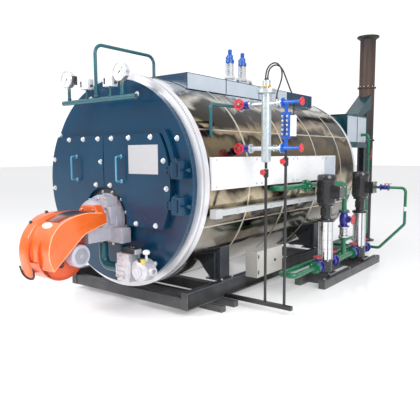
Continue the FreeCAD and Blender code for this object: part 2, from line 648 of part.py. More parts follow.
def gauge(name, x):
    """A round pressure gauge facing the front, on a square stem."""
    case = turned(name + "_case", [
        ("0", "0"), ("gauge_radius - 10", "0"), ("gauge_radius - 4", "8"),
        ("gauge_radius - 4", "gauge_depth - 10"), ("gauge_radius", "gauge_depth - 8"),
        ("gauge_radius", "gauge_depth"), ("0", "gauge_depth")],
        x, "header_y + gauge_depth / 2", "gauge_z", FRONT)
    stem = block(name + "_stem", (f"{x} - 12", f"{x} + 12"), ("header_y - 12", "header_y + 12"),
                 ("gauge_z - gauge_radius - 2", "gauge_z - gauge_radius + 20"))
    return fuse(name, [case, stem])


node("pressure_gauges", [gauge("left_gauge", "gauge_left_x"), gauge("right_gauge", "gauge_right_x")])
node("pressure_switches", [
    block(name, (f"{x} - switch_width / 2", f"{x} + switch_width / 2"),
          ("header_y - 36", "header_y + 36"), ("switch_z", "switch_z + switch_height"))
    for name, x in (("left_switch", "switch_left_x"), ("right_switch", "switch_right_x"))])

feed_line = bent_pipe("feed_line", [
    (size("feed_x"), size("header_y"), size("header_z") + size("header_radius") + 0.3),
    (size("feed_x"), size("header_y"), size("feed_top")),
    (size("feed_x"), size("feed_foot_y"), size("feed_top")),
    (size("feed_x"), size("feed_foot_y"), size("deck_top"))],
    size("feed_radius"), size("feed_bend"))
node("steam_feed_pipe", [feed_line])

# --- walkway on top of the shell, and the safety valves that stand through it ----------------

deck = block("deck", ("-deck_half_width", "deck_half_width"), ("deck_front", "deck_rear"),
             ("shell_axis_z + 800", "deck_top"))
node("top_walkway", [clear_of_shell("deck_cut", deck)])


def safety_valve(name, y):
    """A spring safety valve: flange, body with a side outlet, open yoke and cap."""
    body = turned(name + "_body", [
        ("0", "0"), ("75", "0"), ("75", "22"), ("44", "30"), ("58", "60"), ("58", "150"),
        ("70", "158"), ("70", "180"), ("46", "190"), ("46", "360"), ("56", "366"),
        ("56", "400"), ("40", "420"), ("40", "460"), ("26", "470"), ("26", "safety_height"),
        ("0", "safety_height")], "0", y, "deck_top")
    outlet = turned(name + "_outlet", [
        ("0", "0"), ("38", "0"), ("38", "110"), ("62", "110"), ("62", "132"), ("32", "132"),
        ("32", "80"), ("0", "80")], "0", y, "deck_top + 100", (1, 0, 0))
    return fuse(name, [body, outlet])


node("safety_valves", [safety_valve("first_safety", "safety_first_y"),
                       safety_valve("second_safety", "safety_first_y + safety_pitch")])

# --- water level column, its valves and its gauge glass --------------------------------------

LEVELS = {"upper": "upper_z", "lower": "lower_z"}
ACROSS = (1, 0, 0)
column_tube = turned("column_tube", [
    ("0", "0"), ("column_radius - 16", "0"), ("column_radius", "16"),
    ("column_radius", "column_top - column_bottom - 30"),
    ("column_radius + 40", "column_top - column_bottom - 30"),
    ("column_radius + 40", "column_top - column_bottom + 6"),
    ("cap_radius", "column_top - column_bottom + 6"),
    ("cap_radius", "column_top - column_bottom + 90"),
    ("0", "column_top - column_bottom + 90")], "column_x", "column_y", "column_bottom")
stubs = []
for name, level in LEVELS.items():
    stubs.append(turned(f"{name}_stub", [
        ("0", "0"), ("valve_flange", "0"), ("valve_flange", "12"), ("branch_radius + 4", "12"),
        ("branch_radius + 4", "glass_x - valve_x - valve_half - 52"),
        ("valve_flange", "glass_x - valve_x - valve_half - 52"),
        ("valve_flange", "glass_x - valve_x - valve_half - 40"),
        ("0", "glass_x - valve_x - valve_half - 40")],
        "valve_x + valve_half", "column_y", level, ACROSS))
cable_gland = block("cable_gland", ("column_x + 94", "column_x + 130"),
                    ("column_y - 18", "column_y + 18"), ("upper_z", "upper_z + 35"))
node("level_column", [fuse("column", [column_tube, cable_gland] + stubs)])


def gate_valve(name, half, flange, x, y, z, flow, stem):
    """A flanged valve along flow, with a bonnet along stem bored for its spindle."""
    run = turned(name + "_run", [
        ("0", "0"), (flange, "0"), (flange, "14"), (f"{flange} * 0.55", "16"),
        (f"{flange} * 0.8", f"{half} * 0.7"), (f"{flange} * 0.8", f"{half} * 1.3"),
        (f"{flange} * 0.55", f"2 * {half} - 16"), (flange, f"2 * {half} - 14"),
        (flange, f"2 * {half}"), ("0", f"2 * {half}")],
        f"{x} - {half} * {flow[0]}", f"{y} - {half} * {flow[1]}", f"{z} - {half} * {flow[2]}",
        flow)
    bonnet = turned(name + "_bonnet", [
        ("0", "0"), (f"{flange} * 0.6", "0"), (f"{flange} * 0.6", f"{flange} * 1.1"),
        ("stem_radius + 10", f"{flange} * 1.2"), ("stem_radius + 10", "stem_reach - 14"),
        ("stem_radius + pin_clearance", "stem_reach - 14"),
        ("stem_radius + pin_clearance", "stem_reach - 40"), ("0", "stem_reach - 40")],
        x, y, z, stem)
    return fuse(name, [run, bonnet])


def handwheel(name, radius, x, y, z, stem):
    """A handwheel with a hub, a dished web cut by round openings, and a spindle."""
    body = doc.addObject("PartDesign::Body", name)
    sketch = draw(body, "XZ_Plane", [
        ("0", "-24"), ("stem_radius", "-24"), ("stem_radius", "0"), ("stem_radius + 7", "0"),
        ("stem_radius + 7", "5"), (f"{radius} - 2 * wheel_rim", "5"),
        (f"{radius} - 2 * wheel_rim", "0"), (f"{radius} - wheel_rim / 2", "0"),
        (radius, "5"), (radius, "11"), (f"{radius} - wheel_rim / 2", "16"),
        (f"{radius} - 2 * wheel_rim", "16"), (f"{radius} - 2 * wheel_rim", "11"),
        ("stem_radius + 7", "11"), ("stem_radius + 7", "20"), ("0", "20")])
    spin = body.newObject("PartDesign::Revolution", name + "_turn")
    spin.Profile = sketch
    spin.ReferenceAxis = (sketch, ["V_Axis"])
    spin.Angle = 360
    window = body.newObject("Sketcher::SketchObject", name + "_window")
    support = next(item for item in body.Origin.OriginFeatures if item.Role == "XY_Plane")
    window.AttachmentSupport = (support, "")
    window.MapMode = "FlatFace"
    window.addGeometry(Part.Circle(FreeCAD.Vector(30, 0, 0), FreeCAD.Vector(0, 0, 1), 8), False)
    window.addConstraint(Sketcher.Constraint("PointOnObject", 0, 3, -1))
    place = window.addConstraint(Sketcher.Constraint("DistanceX", -1, 1, 0, 3, 30.0))
    width = window.addConstraint(Sketcher.Constraint("Radius", 0, 8.0))
    web = f"({radius} - 2 * wheel_rim - stem_radius - 7)"
    window.setExpression(f"Constraints[{place}]", bound(f"stem_radius + 7 + {web} / 2"))
    window.setExpression(f"Constraints[{width}]", bound(f"{web} * 0.36"))
    doc.recompute()
    pocket = body.newObject("PartDesign::Pocket", name + "_pocket")
    pocket.Profile = window
    pocket.Type = 1
    pocket.Midplane = True
    pattern = body.newObject("PartDesign::PolarPattern", name + "_pattern")
    pattern.Originals = [pocket]
    pattern.Axis = (window, ["N_Axis"])
    pattern.Angle = 360
    pattern.Occurrences = 5
    body.Tip = pattern
    return at(body, f"{x} + {stem[0]} * stem_reach", f"{y} + {stem[1]} * stem_reach",
              f"{z} + {stem[2]} * stem_reach", stem)


node("column_valves", [
    gate_valve(f"{name}_column_valve", "valve_half", "valve_flange", "valve_x", "column_y", level,
               ACROSS, FRONT)
    for name, level in LEVELS.items()])
for name, level in LEVELS.items():
    node(f"column_{name}_wheel", [
        handwheel(f"{name}_column_wheel", "wheel_radius", "valve_x", "column_y", level, FRONT)])

start_x = size("valve_x") - size("valve_half")
drop_x = size("shell_radius") - size("branch_inset")
drop_y = size("column_y") - size("branch_lead")
upper_branch = bent_pipe("upper_branch", [
    (start_x, size("column_y"), size("upper_z")), (drop_x, size("column_y"), size("upper_z")),
    (drop_x, drop_y, size("upper_z")), (drop_x, drop_y, size("shell_axis_z"))],
    size("branch_radius"), size("branch_radius") * size("bend_ratio"))
lower_branch = rod("lower_branch", "branch_radius", "valve_x - valve_half", "valve_x - valve_half",
                   "column_y", "lower_z", (-1, 0, 0))
node("column_branches", [clear_of_shell("upper_branch_cut", upper_branch),
                         clear_of_shell("lower_branch_cut", lower_branch)])


def glass_head(name, level, turn):
    """A gauge-glass cock: body across, with a short neck towards the glass."""
    body = turned(name + "_cock", [
        ("0", "0"), ("valve_flange", "0"), ("valve_flange", "10"), ("22", "14"), ("22", "60"),
        ("16", "64"), ("16", "glass_wheel_x - glass_x + 26"),
        ("stem_radius + pin_clearance", "glass_wheel_x - glass_x + 26"),
        ("stem_radius + pin_clearance", "glass_wheel_x - glass_x"),
        ("0", "glass_wheel_x - glass_x")],
        "glass_x - 40", "column_y", level, ACROSS)
    neck = rod(name + "_neck", "17", "90", "glass_x", "column_y", level, turn)
    return fuse(name, [body, neck])


frame_low = "lower_z + 90"
frame_high = "upper_z - 90"
cocks = [glass_head("lower_cock", "lower_z", (0, 0, 1)),
         glass_head("upper_cock", "upper_z", (0, 0, -1))]
glass_body = block("glass_body", ("glass_x - glass_half", "glass_x + glass_half"),
                   ("column_y - 20", "column_y + 20"),
                   (frame_low, frame_high))
glass_slot = block("glass_slot", ("glass_x - 8", "glass_x + 8"),
                   ("column_y - 21", "column_y - 14"), (frame_low + " + 30", frame_high + " - 30"))
node("gauge_glass", [fuse("gauge_glass_whole", cocks + [
    cut("glass_frame", glass_body, glass_slot)])])
node("level_sensor", [
    rod("sensor_tube", "sensor_radius", "sensor_height",
        "glass_x + glass_half + seat_gap + sensor_radius", "column_y", frame_low + " + 20",
        (0, 0, 1))])
for name, level in LEVELS.items():
    node(f"gauge_{name}_wheel", [
        handwheel(f"{name}_glass_wheel", "glass_wheel_radius", "glass_wheel_x - stem_reach",
                  "column_y", level, ACROSS)])

# Two black cables loop out of the column's cap: one down behind the upper cock to the sensor,
# one down to the gland on the upper stub. Their points are offsets from the cap's top and from
# the piece that each one ends on.
cap_x = size("column_x")
cap_y = size("column_y")
cap_z = size("column_top") + 90
gland_z = size("upper_z") + 35
sensor_x = size("glass_x") + size("glass_half") + size("seat_gap") + size("sensor_radius")
sensor_z = size("lower_z") + 110 + size("sensor_height")
node("sensor_cable", [cable("sensor_lead", [
    (cap_x + 12, cap_y, cap_z), (cap_x + 12, cap_y, cap_z + 60),
    (cap_x + 38, cap_y + 6, cap_z + 121), (cap_x + 100, cap_y + 13, cap_z + 141),
    (cap_x + 155, cap_y + 22, cap_z + 102), (cap_x + 188, cap_y + 31, cap_z + 18),
    (sensor_x - 69, cap_y + 42, sensor_z + 269), (sensor_x - 33, cap_y + 51, sensor_z + 180),
    (sensor_x - 9, cap_y + 42, sensor_z + 112), (sensor_x, cap_y, sensor_z + 56),
    (sensor_x, cap_y, sensor_z)], size("cable_radius"))])
node("column_cable", [cable("column_lead", [
    (cap_x - 12, cap_y, cap_z), (cap_x - 12, cap_y, cap_z + 68),
    (cap_x + 31, cap_y - 10, cap_z + 138), (cap_x + 109, cap_y - 16, cap_z + 158),
    (cap_x + 170, cap_y - 19, cap_z + 102), (cap_x + 181, cap_y - 17, cap_z + 18),
    (cap_x + 146, cap_y - 9, gland_z + 118), (cap_x + 112, cap_y, gland_z + 58),
    (cap_x + 112, cap_y, gland_z)], size("cable_radius"))])

drains = []
for name, x, top in (("column", "column_x", "column_bottom"), ("glass", "glass_x", "lower_z - 22")):
    drains.append(turned(name + "_drain", [
        ("0", "0"), ("drain_radius", "0"),
        ("drain_radius", f"{top} - collector_z - collector_half - 150"),
        ("drain_radius + 12", f"{top} - collector_z - collector_half - 140"),
        ("drain_radius + 12", f"{top} - collector_z - collector_half - 70"),
        ("drain_radius", f"{top} - collector_z - collector_half - 60"),
        ("drain_radius", f"{top} - collector_z - collector_half"),
        ("0", f"{top} - collector_z - collector_half")],
        x, "column_y", "collector_z + collector_half"))
collector = block("collector", ("frame_half", "collector_end"),
                  ("column_y - collector_half", "column_y + collector_half"),
                  ("collector_z - collector_half", "collector_z + collector_half"))
node("drain_pipes", [fuse("drains_whole", drains + [collector])])

# --- fittings on the right side of the shell -------------------------------------------------

node("side_sign_panel", [clear_of_shell("sign_cut", block(
    "sign", ("shell_radius - 10", "sign_outer"), ("sign_front + ring_lap", "sign_rear"),
    ("sign_bottom", "sign_top")))])
node("cable_tray", [clear_of_shell("tray_cut", block(
    "tray", ("shell_radius - 60", "tray_outer"), ("tray_front", "tray_rear"),
    ("tray_bottom", "tray_top")))])
node("junction_box", [
    block("terminal_box", ("frame_half", "frame_half + box_depth"), ("box_front", "box_rear"),
          ("box_bottom", "box_top"))])

# --- feed pump skid --------------------------------------------------------------------------

skid_web = "80"
skid = [
    block("skid_inner_rail", ("skid_inner", f"skid_inner + {skid_web}"),
          ("skid_front", "skid_rear"), ("0", "skid_height")),
    block("skid_outer_rail", (f"skid_outer - {skid_web}", "skid_outer"),
          ("skid_front", "skid_rear"), ("0", "skid_height"))]
skid += [
    block(f"skid_cross_{k}", (f"skid_inner + {skid_web}", f"skid_outer - {skid_web}"),
          (f"{y} - 90", f"{y} + 90"), ("0", "skid_height"))
    for k, y in enumerate(("pump_one_y", "pump_two_y"))]
node("pump_skid", [fuse("skid_whole", skid)])

PUMPS = {"one": "pump_one_y", "two": "pump_two_y"}
bases, tubes, motors = [], [], []
for name, y in PUMPS.items():
    foot = block(f"pump_{name}_foot", ("pump_x - 110", "pump_x + 110"), (f"{y} - 100", f"{y} + 100"),
                 ("skid_height", "skid_height + 40"))
    boss = rod(f"pump_{name}_boss", "tube_radius + 12", "port_z + 60 - skid_height", "pump_x", y,
               "skid_height", (0, 0, 1))
    ports = rod(f"pump_{name}_ports", "pipe_radius + 18", "300", "pump_x", f"{y} - 150", "port_z",
                LONG)
    bases.append(fuse(f"pump_{name}_base", [foot, boss, ports]))
    tubes.append(rod(f"pump_{name}_tube", "tube_radius", "tube_top - port_z - 60", "pump_x", y,
                     "port_z + 60", (0, 0, 1)))
    lantern = turned(f"pump_{name}_lantern", [
        ("0", "0"), ("tube_radius + 26", "0"), ("tube_radius + 26", "26"), ("58", "40"),
        ("58", "lantern_top - tube_top - 20"), ("92", "lantern_top - tube_top - 10"),
        ("92", "lantern_top - tube_top"), ("0", "lantern_top - tube_top")],
        "pump_x", y, "tube_top")
    frame = turned(f"pump_{name}_frame", [
        ("0", "0"), ("88", "0"), ("pump_motor_radius", "26"),
        ("pump_motor_radius", "pump_motor_top - lantern_top - 24"),
        ("pump_motor_radius - 8", "pump_motor_top - lantern_top"),
        ("0", "pump_motor_top - lantern_top")], "pump_x", y, "lantern_top")
    terminal = block(f"pump_{name}_terminals", ("pump_x + 60", "pump_x + 190"),
                     (f"{y} - 70", f"{y} + 70"), ("lantern_top + 80", "lantern_top + 230"))
    motors.append(fuse(f"pump_{name}_motor", [lantern, frame, terminal]))
node("pump_bases", bases)
node("pump_stage_tubes", tubes)
node("pump_motors", motors)

# --- suction, transfer and delivery pipework -------------------------------------------------

UP = (0, 0, 1)
BACK_LINE = "pump_two_y + 430"
suction_valve_y = "pump_one_y - 150 - 60"
transfer_valve_y = "pump_one_y + 150 + 60"
second_valve_y = "pump_two_y - 150 - 60"
far_valve_y = "pump_two_y + 150 + 60"
port_valves = [gate_valve(f"port_valve_{k}", "60", "pipe_flange", "pump_x", y, "port_z", LONG, UP)
               for k, y in enumerate((suction_valve_y, transfer_valve_y, second_valve_y,
                                      far_valve_y))]
for k, (label, y) in enumerate((("suction_wheel", suction_valve_y),
                                ("transfer_wheel", transfer_valve_y),
                                ("second_pump_wheel", second_valve_y),
                                ("far_suction_wheel", far_valve_y))):
    node(label, [handwheel(f"port_wheel_{k}", "wheel_radius", "pump_x", y, "port_z", UP)])

x_pump = size("pump_x")
x_back = size("suction_x")
z_port = size("port_z")
y_near = size("pump_one_y") - 270
y_far = size("pump_two_y") + 270
suction_loop = bent_pipe("suction_loop", [
    (x_pump, y_near, z_port), (x_pump, size("loop_y"), z_port), (x_back, size("loop_y"), z_port),
    (x_back, y_far + 160, z_port), (x_pump, y_far + 160, z_port), (x_pump, y_far, z_port)],
    size("pipe_radius"), size("pipe_radius") * size("bend_ratio"))
loop_flanges = [rod(f"loop_flange_{k}", "pipe_flange", "16", "pump_x", y, "port_z", turn)
                for k, (y, turn) in enumerate((("pump_one_y - 270", FRONT),
                                               ("pump_two_y + 270", LONG)))]
node("suction_pipe", [fuse("suction_whole", [suction_loop] + loop_flanges)])

transfer = turned("transfer_run", [
    ("0", "0"), ("pipe_flange", "0"), ("pipe_flange", "16"), ("pipe_radius + 14", "18"),
    ("pipe_radius + 14", "pump_two_y - pump_one_y - 540 - 18"),
    ("pipe_flange", "pump_two_y - pump_one_y - 540 - 16"),
    ("pipe_flange", "pump_two_y - pump_one_y - 540"), ("0", "pump_two_y - pump_one_y - 540")],
    "pump_x", "pump_one_y + 270", "port_z", LONG)
riser_stub = turned("riser_stub", [
    ("0", "0"), ("pipe_radius", "0"), ("pipe_radius", "244"), ("pipe_flange - 6", "244"),
    ("pipe_flange - 6", "260"), ("0", "260")], "pump_x", "riser_y", "port_z")
transfer_whole = fuse("transfer_whole", [transfer, riser_stub])
bellows_profile = [("0", "0"), ("pipe_flange - 6", "0"), ("pipe_flange - 6", "12")]
for fold in range(5):
    bellows_profile += [("pipe_radius + 6", f"{16 + 20 * fold}"),
                        ("pipe_radius + 22", f"{26 + 20 * fold}")]
bellows_profile += [("pipe_radius + 6", "116"), ("pipe_flange - 6", "120"),
                    ("pipe_flange - 6", "132"), ("0", "132")]
node("riser_bellows", [turned("bellows", bellows_profile, "pump_x", "riser_y", "port_z + 260")])
RISER_VALVE = "port_z + 260 + 132 + 100"
riser_valve = gate_valve("riser_valve", "100", "pipe_flange", "pump_x", "riser_y", RISER_VALVE,
                         UP, ACROSS)
bypass_valve = turned("bypass_valve", [
    ("0", "0"), ("46", "0"), ("46", "12"), ("28", "14"), ("34", "60"), ("28", "106"),
    ("46", "108"), ("46", "120"), ("0", "120")], "bypass_valve_x", BACK_LINE, "bypass_z", ACROSS)
node("feed_valves", port_valves + [riser_valve, bypass_valve])
node("riser_valve_wheel", [handwheel("delivery_wheel", "wheel_radius + 6", "pump_x", "riser_y",
                                     RISER_VALVE, ACROSS)])

z_valve_top = z_port + 260 + 132 + 200
z_run = size("delivery_z")
delivery = bent_pipe("delivery", [
    (x_pump, size("riser_y"), z_valve_top), (x_pump, size("riser_y"), z_run),
    (x_back, size("riser_y") - 240, z_run), (x_back, size("pump_one_y") - 780, z_run),
    (size("shell_radius") - 60, size("pump_one_y") - 780, z_run)],
    size("pipe_radius"), size("pipe_radius") * size("bend_ratio"))
delivery_flange = rod("delivery_flange", "pipe_flange - 6", "16", "pump_x", "riser_y",
                      "port_z + 260 + 132 + 200", UP)
line_flange = rod("line_flange", "pipe_flange", "34", "suction_x", "pump_one_y - 190",
                  "delivery_z", LONG)
node("delivery_pipe", [transfer_whole, clear_of_shell("delivery_cut", fuse(
    "delivery_whole", [delivery, delivery_flange, line_flange]))])

y_line = y_far + 160
z_bypass = size("bypass_z")
x_outer = size("bypass_x")
tip = size("seat_gap")
thin = size("bypass_radius")
x_tee = (x_pump + x_back) / 2
bypass_up = bent_pipe("bypass_up", [
    (x_tee, y_line, z_port + size("pipe_radius") + tip), (x_tee, y_line, z_bypass),
    (size("bypass_valve_x"), y_line, z_bypass)], thin, thin * 3)
bypass_down = bent_pipe("bypass_down", [
    (size("bypass_valve_x") + 120, y_line, z_bypass), (x_outer, y_line, z_bypass),
    (x_outer, y_line, size("bypass_low")), (x_pump + 170, y_line - 110, z_port),
    (x_pump + size("pipe_radius") + tip, y_line - 110, z_port)], thin, thin * 3)
x_eco = size("eco_right") + size("eco_feed_stand")
y_eco = size("eco_front") + size("eco_feed_lead")
z_eco = size("eco_bottom") + size("eco_feed_rise")
eco_feed = bent_pipe("eco_feed", [
    (x_back - size("pipe_radius") - tip, y_line - 210, z_port), (x_eco, y_line - 210, z_port),
    (x_eco, y_eco, z_port), (x_eco, y_eco, z_eco), (size("eco_right"), y_eco, z_eco)],
    size("eco_feed_radius"), size("eco_feed_radius") * size("bend_ratio"))
node("feed_branch_pipes", [bypass_up, bypass_down, eco_feed])

# --- economiser on its stand, duct and stack -------------------------------------------------

eco_case = block("eco_case", ("eco_left", "eco_right"), ("eco_front", "eco_rear"),
                 ("eco_bottom", "eco_top"))
connector = block("connector", ("eco_left + 90", "eco_right - 90"),
                  ("shell_rear + rear_plate_thickness", "eco_front"),
                  ("eco_bottom + 50", "eco_top - 50"))
stand_top = "(eco_bottom - stand_beam)"
node("economiser_posts", [
    block(f"post_{k}", (x, f"{x} + post_size"), (y, f"{y} + post_size"), ("0", stand_top))
    for k, (x, y) in enumerate((x, y) for x in ("eco_left", "eco_right - post_size")
                               for y in ("eco_front", "eco_rear - post_size"))])
base_tray = block("base_tray", ("eco_left - 12", "eco_right + 12"),
                  ("eco_front - 12", "eco_rear + 12"), (stand_top, "eco_bottom"))
duct_corners = [("duct_foot_y - duct_half", "eco_top"), ("duct_foot_y + duct_half", "eco_top"),
                ("stack_y", "duct_joint_z - 2 * duct_half"), ("stack_y", "duct_joint_z")]
duct_box = plate("duct_box", "YZ_Plane", duct_corners, "2 * duct_half - 20",
                 x="stack_x - duct_half + 10")
duct = cut("duct", duct_box, rod("stack_room", "stack_radius + seat_gap", "stack_top",
                                 "stack_x", "stack_y", "0", UP))
node("economiser", [fuse("economiser_whole", [eco_case, connector, base_tray, duct])])

node("stack", [turned("stack_tube", [
    ("0", "0"), ("stack_radius", "0"), ("stack_radius", "stack_top - 60"),
    ("stack_rim", "stack_top - 18"), ("stack_rim", "stack_top"),
    ("stack_radius - stack_wall", "stack_top"),
    ("stack_radius - stack_wall", "stack_top - stack_bore"), ("0", "stack_top - stack_bore")],
    "stack_x", "stack_y", "0")])

# --- checks and files ------------------------------------------------------------------------

doc.recompute()
failed = [thing.Name for thing in doc.Objects
          if "Invalid" in thing.State or "Error" in thing.State]
if failed:
    raise RuntimeError("not built: " + ", ".join(failed))
os.makedirs("parts", exist_ok=True)
for thing in NODES:
    if thing.Shape.isNull() or not thing.Shape.isValid() or not thing.Shape.Solids:
        raise RuntimeError("bad shape: " + thing.Label)
for thing in NODES:
    thing.Shape.exportStep(f"parts/{thing.Label}.step")
    box = thing.Shape.BoundBox
    print(f"{thing.Label:26s} {len(thing.Shape.Solids):2d} solids {thing.Shape.Volume / 1e6:9.2f} l "
          f"x {box.XMin:7.0f} {box.XMax:7.0f} y {box.YMin:7.0f} {box.YMax:7.0f} "
          f"z {box.ZMin:6.0f} {box.ZMax:6.0f}")
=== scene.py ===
"""The looks of a packaged gas-fired steam boiler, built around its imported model.

Metres, in the model's own frame. X runs to the right seen from the burner, Y runs back along
the boiler and Z is up. The file follows the boiler as it is put together: frame, shell,
smokebox doors, burner, gas train, fittings on top, water level column, feed pumps, pipework,
economiser and stack.
"""
import math

import bmesh
import bpy
import numpy as np
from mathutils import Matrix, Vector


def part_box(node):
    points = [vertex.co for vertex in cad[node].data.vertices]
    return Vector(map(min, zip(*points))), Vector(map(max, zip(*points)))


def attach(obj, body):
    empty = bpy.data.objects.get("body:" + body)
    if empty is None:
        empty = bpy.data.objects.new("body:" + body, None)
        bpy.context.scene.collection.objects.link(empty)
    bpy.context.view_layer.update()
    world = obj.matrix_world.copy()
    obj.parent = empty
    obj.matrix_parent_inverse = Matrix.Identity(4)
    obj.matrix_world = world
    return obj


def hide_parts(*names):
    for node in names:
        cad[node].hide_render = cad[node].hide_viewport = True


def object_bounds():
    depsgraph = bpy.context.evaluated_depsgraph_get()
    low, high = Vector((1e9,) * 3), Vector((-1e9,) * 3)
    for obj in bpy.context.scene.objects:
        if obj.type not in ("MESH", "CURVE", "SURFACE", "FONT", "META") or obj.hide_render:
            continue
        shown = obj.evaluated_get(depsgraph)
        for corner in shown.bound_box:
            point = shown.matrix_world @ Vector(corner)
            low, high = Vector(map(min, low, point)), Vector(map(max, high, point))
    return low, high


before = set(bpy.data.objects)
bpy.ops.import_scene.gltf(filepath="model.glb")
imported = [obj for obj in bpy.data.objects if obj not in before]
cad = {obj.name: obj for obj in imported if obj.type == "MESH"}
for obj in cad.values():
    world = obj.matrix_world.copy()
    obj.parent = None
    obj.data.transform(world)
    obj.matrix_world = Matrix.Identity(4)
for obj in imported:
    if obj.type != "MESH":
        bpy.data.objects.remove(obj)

cad_low, cad_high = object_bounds()

# --- The studio ------------------------------------------------------------------------------
# The set stands on a pale, slightly glossy floor under a soft sky with two large soft boxes.
# Every place below is given from the shell's axis in X, the front plate's face in Y and the
# floor in Z, and spot() turns such a place into the model's frame.

plate_low, plate_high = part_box("front_plate")
datum = np.array([(plate_low.x + plate_high.x) / 2, plate_low.y, 0.0])
axis_z = (plate_low.z + plate_high.z) / 2


def spot(x, y, z):
    """A place measured from the shell's axis, the front plate's face and the floor."""
    return datum + np.array([x, y, z], float)


def node(tree, kind, sockets=None, **settings):
    """A shader node with its settings; each socket takes a number, a colour or a link."""
    made = tree.nodes.new(kind)
    for name, value in settings.items():
        setattr(made, name, value)
    for name, value in (sockets or {}).items():
        if isinstance(value, bpy.types.NodeSocket):
            tree.links.new(value, made.inputs[name])
        else:
            made.inputs[name].default_value = value
    return made


def tint(tree, factor, first, second, mode="MIX"):
    """Two colours mixed by a factor; each may be a colour or a link."""
    made = tree.nodes.new("ShaderNodeMix")
    made.data_type = "RGBA"
    made.blend_type = mode
    for place, value in ((0, factor), (6, first), (7, second)):
        if isinstance(value, bpy.types.NodeSocket):
            tree.links.new(value, made.inputs[place])
        else:
            made.inputs[place].default_value = (*value, 1) if place else value
    return made.outputs[2]


def ramp(tree, factor, stops):
    """A colour ramp through (place, colour) stops."""
    made = node(tree, "ShaderNodeValToRGB", {"Fac": factor})
    band = made.color_ramp
    while len(band.elements) < len(stops):
        band.elements.new(0.5)
    for element, (place, colour) in zip(band.elements, stops):
        element.position = place
        element.color = (*colour, 1)
    return made.outputs["Color"]


def material(name):
    """A new material with its tree and its main shader."""
    made = bpy.data.materials.new(name)
    made.use_nodes = True
    return made, made.node_tree, made.node_tree.nodes["Principled BSDF"]


floor_z = cad_low.z
floor_reach = 60.0
floor = bpy.data.objects.new("floor", bpy.data.meshes.new("floor"))
floor.data.from_pydata([(x * floor_reach, y * floor_reach, floor_z)
                        for x, y in ((-1, -1), (1, -1), (1, 1), (-1, 1))], [], [(0, 1, 2, 3)])
bpy.context.scene.collection.objects.link(floor)
floor_paint, tree, shader = material("studio_floor")
shader.inputs["Base Color"].default_value = (0.95, 0.95, 0.96, 1)
shader.inputs["Roughness"].default_value = 0.16
shader.inputs["Specular IOR Level"].default_value = 0.6
shader.inputs["Emission Color"].default_value = (1, 1, 1, 1)
shader.inputs["Emission Strength"].default_value = 0.22
floor.data.materials.append(floor_paint)

sky = bpy.data.worlds.new("studio_sky")
sky.use_nodes = True
bpy.context.scene.world = sky
tree = sky.node_tree
backdrop = tree.nodes["Background"]
height = node(tree, "ShaderNodeSeparateXYZ",
              {"Vector": node(tree, "ShaderNodeTexCoord").outputs["Generated"]}).outputs["Z"]
height = node(tree, "ShaderNodeMapRange", {"Value": height, "From Min": -1.0}).outputs["Result"]
walls = ramp(tree, height, [(0.0, (0.75, 0.76, 0.78)), (0.49, (0.5, 0.5, 0.5)),
                            (0.56, (0.42, 0.42, 0.43)), (0.72, (0.9, 0.91, 0.93)),
                            (1.0, (1.0, 1.0, 1.0))])
seen = node(tree, "ShaderNodeLightPath").outputs["Is Camera Ray"]
tree.links.new(tint(tree, seen, walls, (1.1, 1.1, 1.1)), backdrop.inputs["Color"])
backdrop.inputs["Strength"].default_value = 1.0


def soft_box(name, place, aim, width, power):
    """A large square lamp at a place, turned towards its aim."""
    lamp = bpy.data.lights.new(name, "AREA")
    lamp.shape = "SQUARE"
    lamp.size = width
    lamp.energy = power
    holder = bpy.data.objects.new(name, lamp)
    bpy.context.scene.collection.objects.link(holder)
    from_place = Vector(spot(*place))
    holder.location = from_place
    look = Vector(spot(*aim)) - from_place
    holder.rotation_euler = look.to_track_quat("-Z", "Y").to_euler()


soft_box("key_box", (-3.5, -6.0, 6.0), (0, 0.6, 1.2), 4.0, 420)
soft_box("fill_box", (6.5, -1.0, 4.5), (0.4, 1.6, 1.2), 4.0, 240)

lens = bpy.data.cameras.new("view")
lens.lens = 42.12
lens.clip_end = 100
camera = bpy.data.objects.new("view", lens)
camera.location = spot(3.9003, -3.4341, 1.5706)
camera.rotation_euler = (math.radians(83.542), math.radians(0.321), math.radians(37.737))
bpy.context.scene.collection.objects.link(camera)
bpy.context.scene.camera = camera
bpy.context.scene.view_settings.view_transform = "Standard"

# --- The column's two cables -----------------------------------------------------------------
# Black rubber cables, 14 mm thick, out of the level column's cap: one loops down behind the
# upper cock into the level sensor, the other down into the gland on the upper stub.

rubber, tree, shader = material("cable_rubber")
place = node(tree, "ShaderNodeTexCoord").outputs["Object"]
smudge = node(tree, "ShaderNodeTexNoise", {"Vector": place, "Scale": 45.0, "Detail": 4.0})
tree.links.new(tint(tree, smudge.outputs["Fac"], (0.006, 0.006, 0.007), (0.035, 0.035, 0.038)),
               shader.inputs["Base Color"])
tree.links.new(node(tree, "ShaderNodeMapRange", {"Value": smudge.outputs["Fac"], "To Min": 0.3,
                                                 "To Max": 0.6}).outputs["Result"],
               shader.inputs["Roughness"])
cable_thickness = 0.014


def run_cable(name, route):
    """A round cable on one smooth spline through a given route."""
    line = bpy.data.curves.new(name, "CURVE")
    line.dimensions = "3D"
    line.bevel_depth = cable_thickness / 2
    line.bevel_resolution = 4
    line.resolution_u = 8
    line.use_fill_caps = True
    spline = line.splines.new("NURBS")
    spline.points.add(len(route) - 1)
    places = np.hstack([spot(0, 0, 0) + np.array(route), np.ones((len(route), 1))])
    spline.points.foreach_set("co", places.ravel())
    spline.order_u = 3
    spline.use_endpoint_u = True
    line.materials.append(rubber)
    made = bpy.data.objects.new(name, line)
    bpy.context.scene.collection.objects.link(made)
    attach(made, "boiler")
    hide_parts(name)
    return made


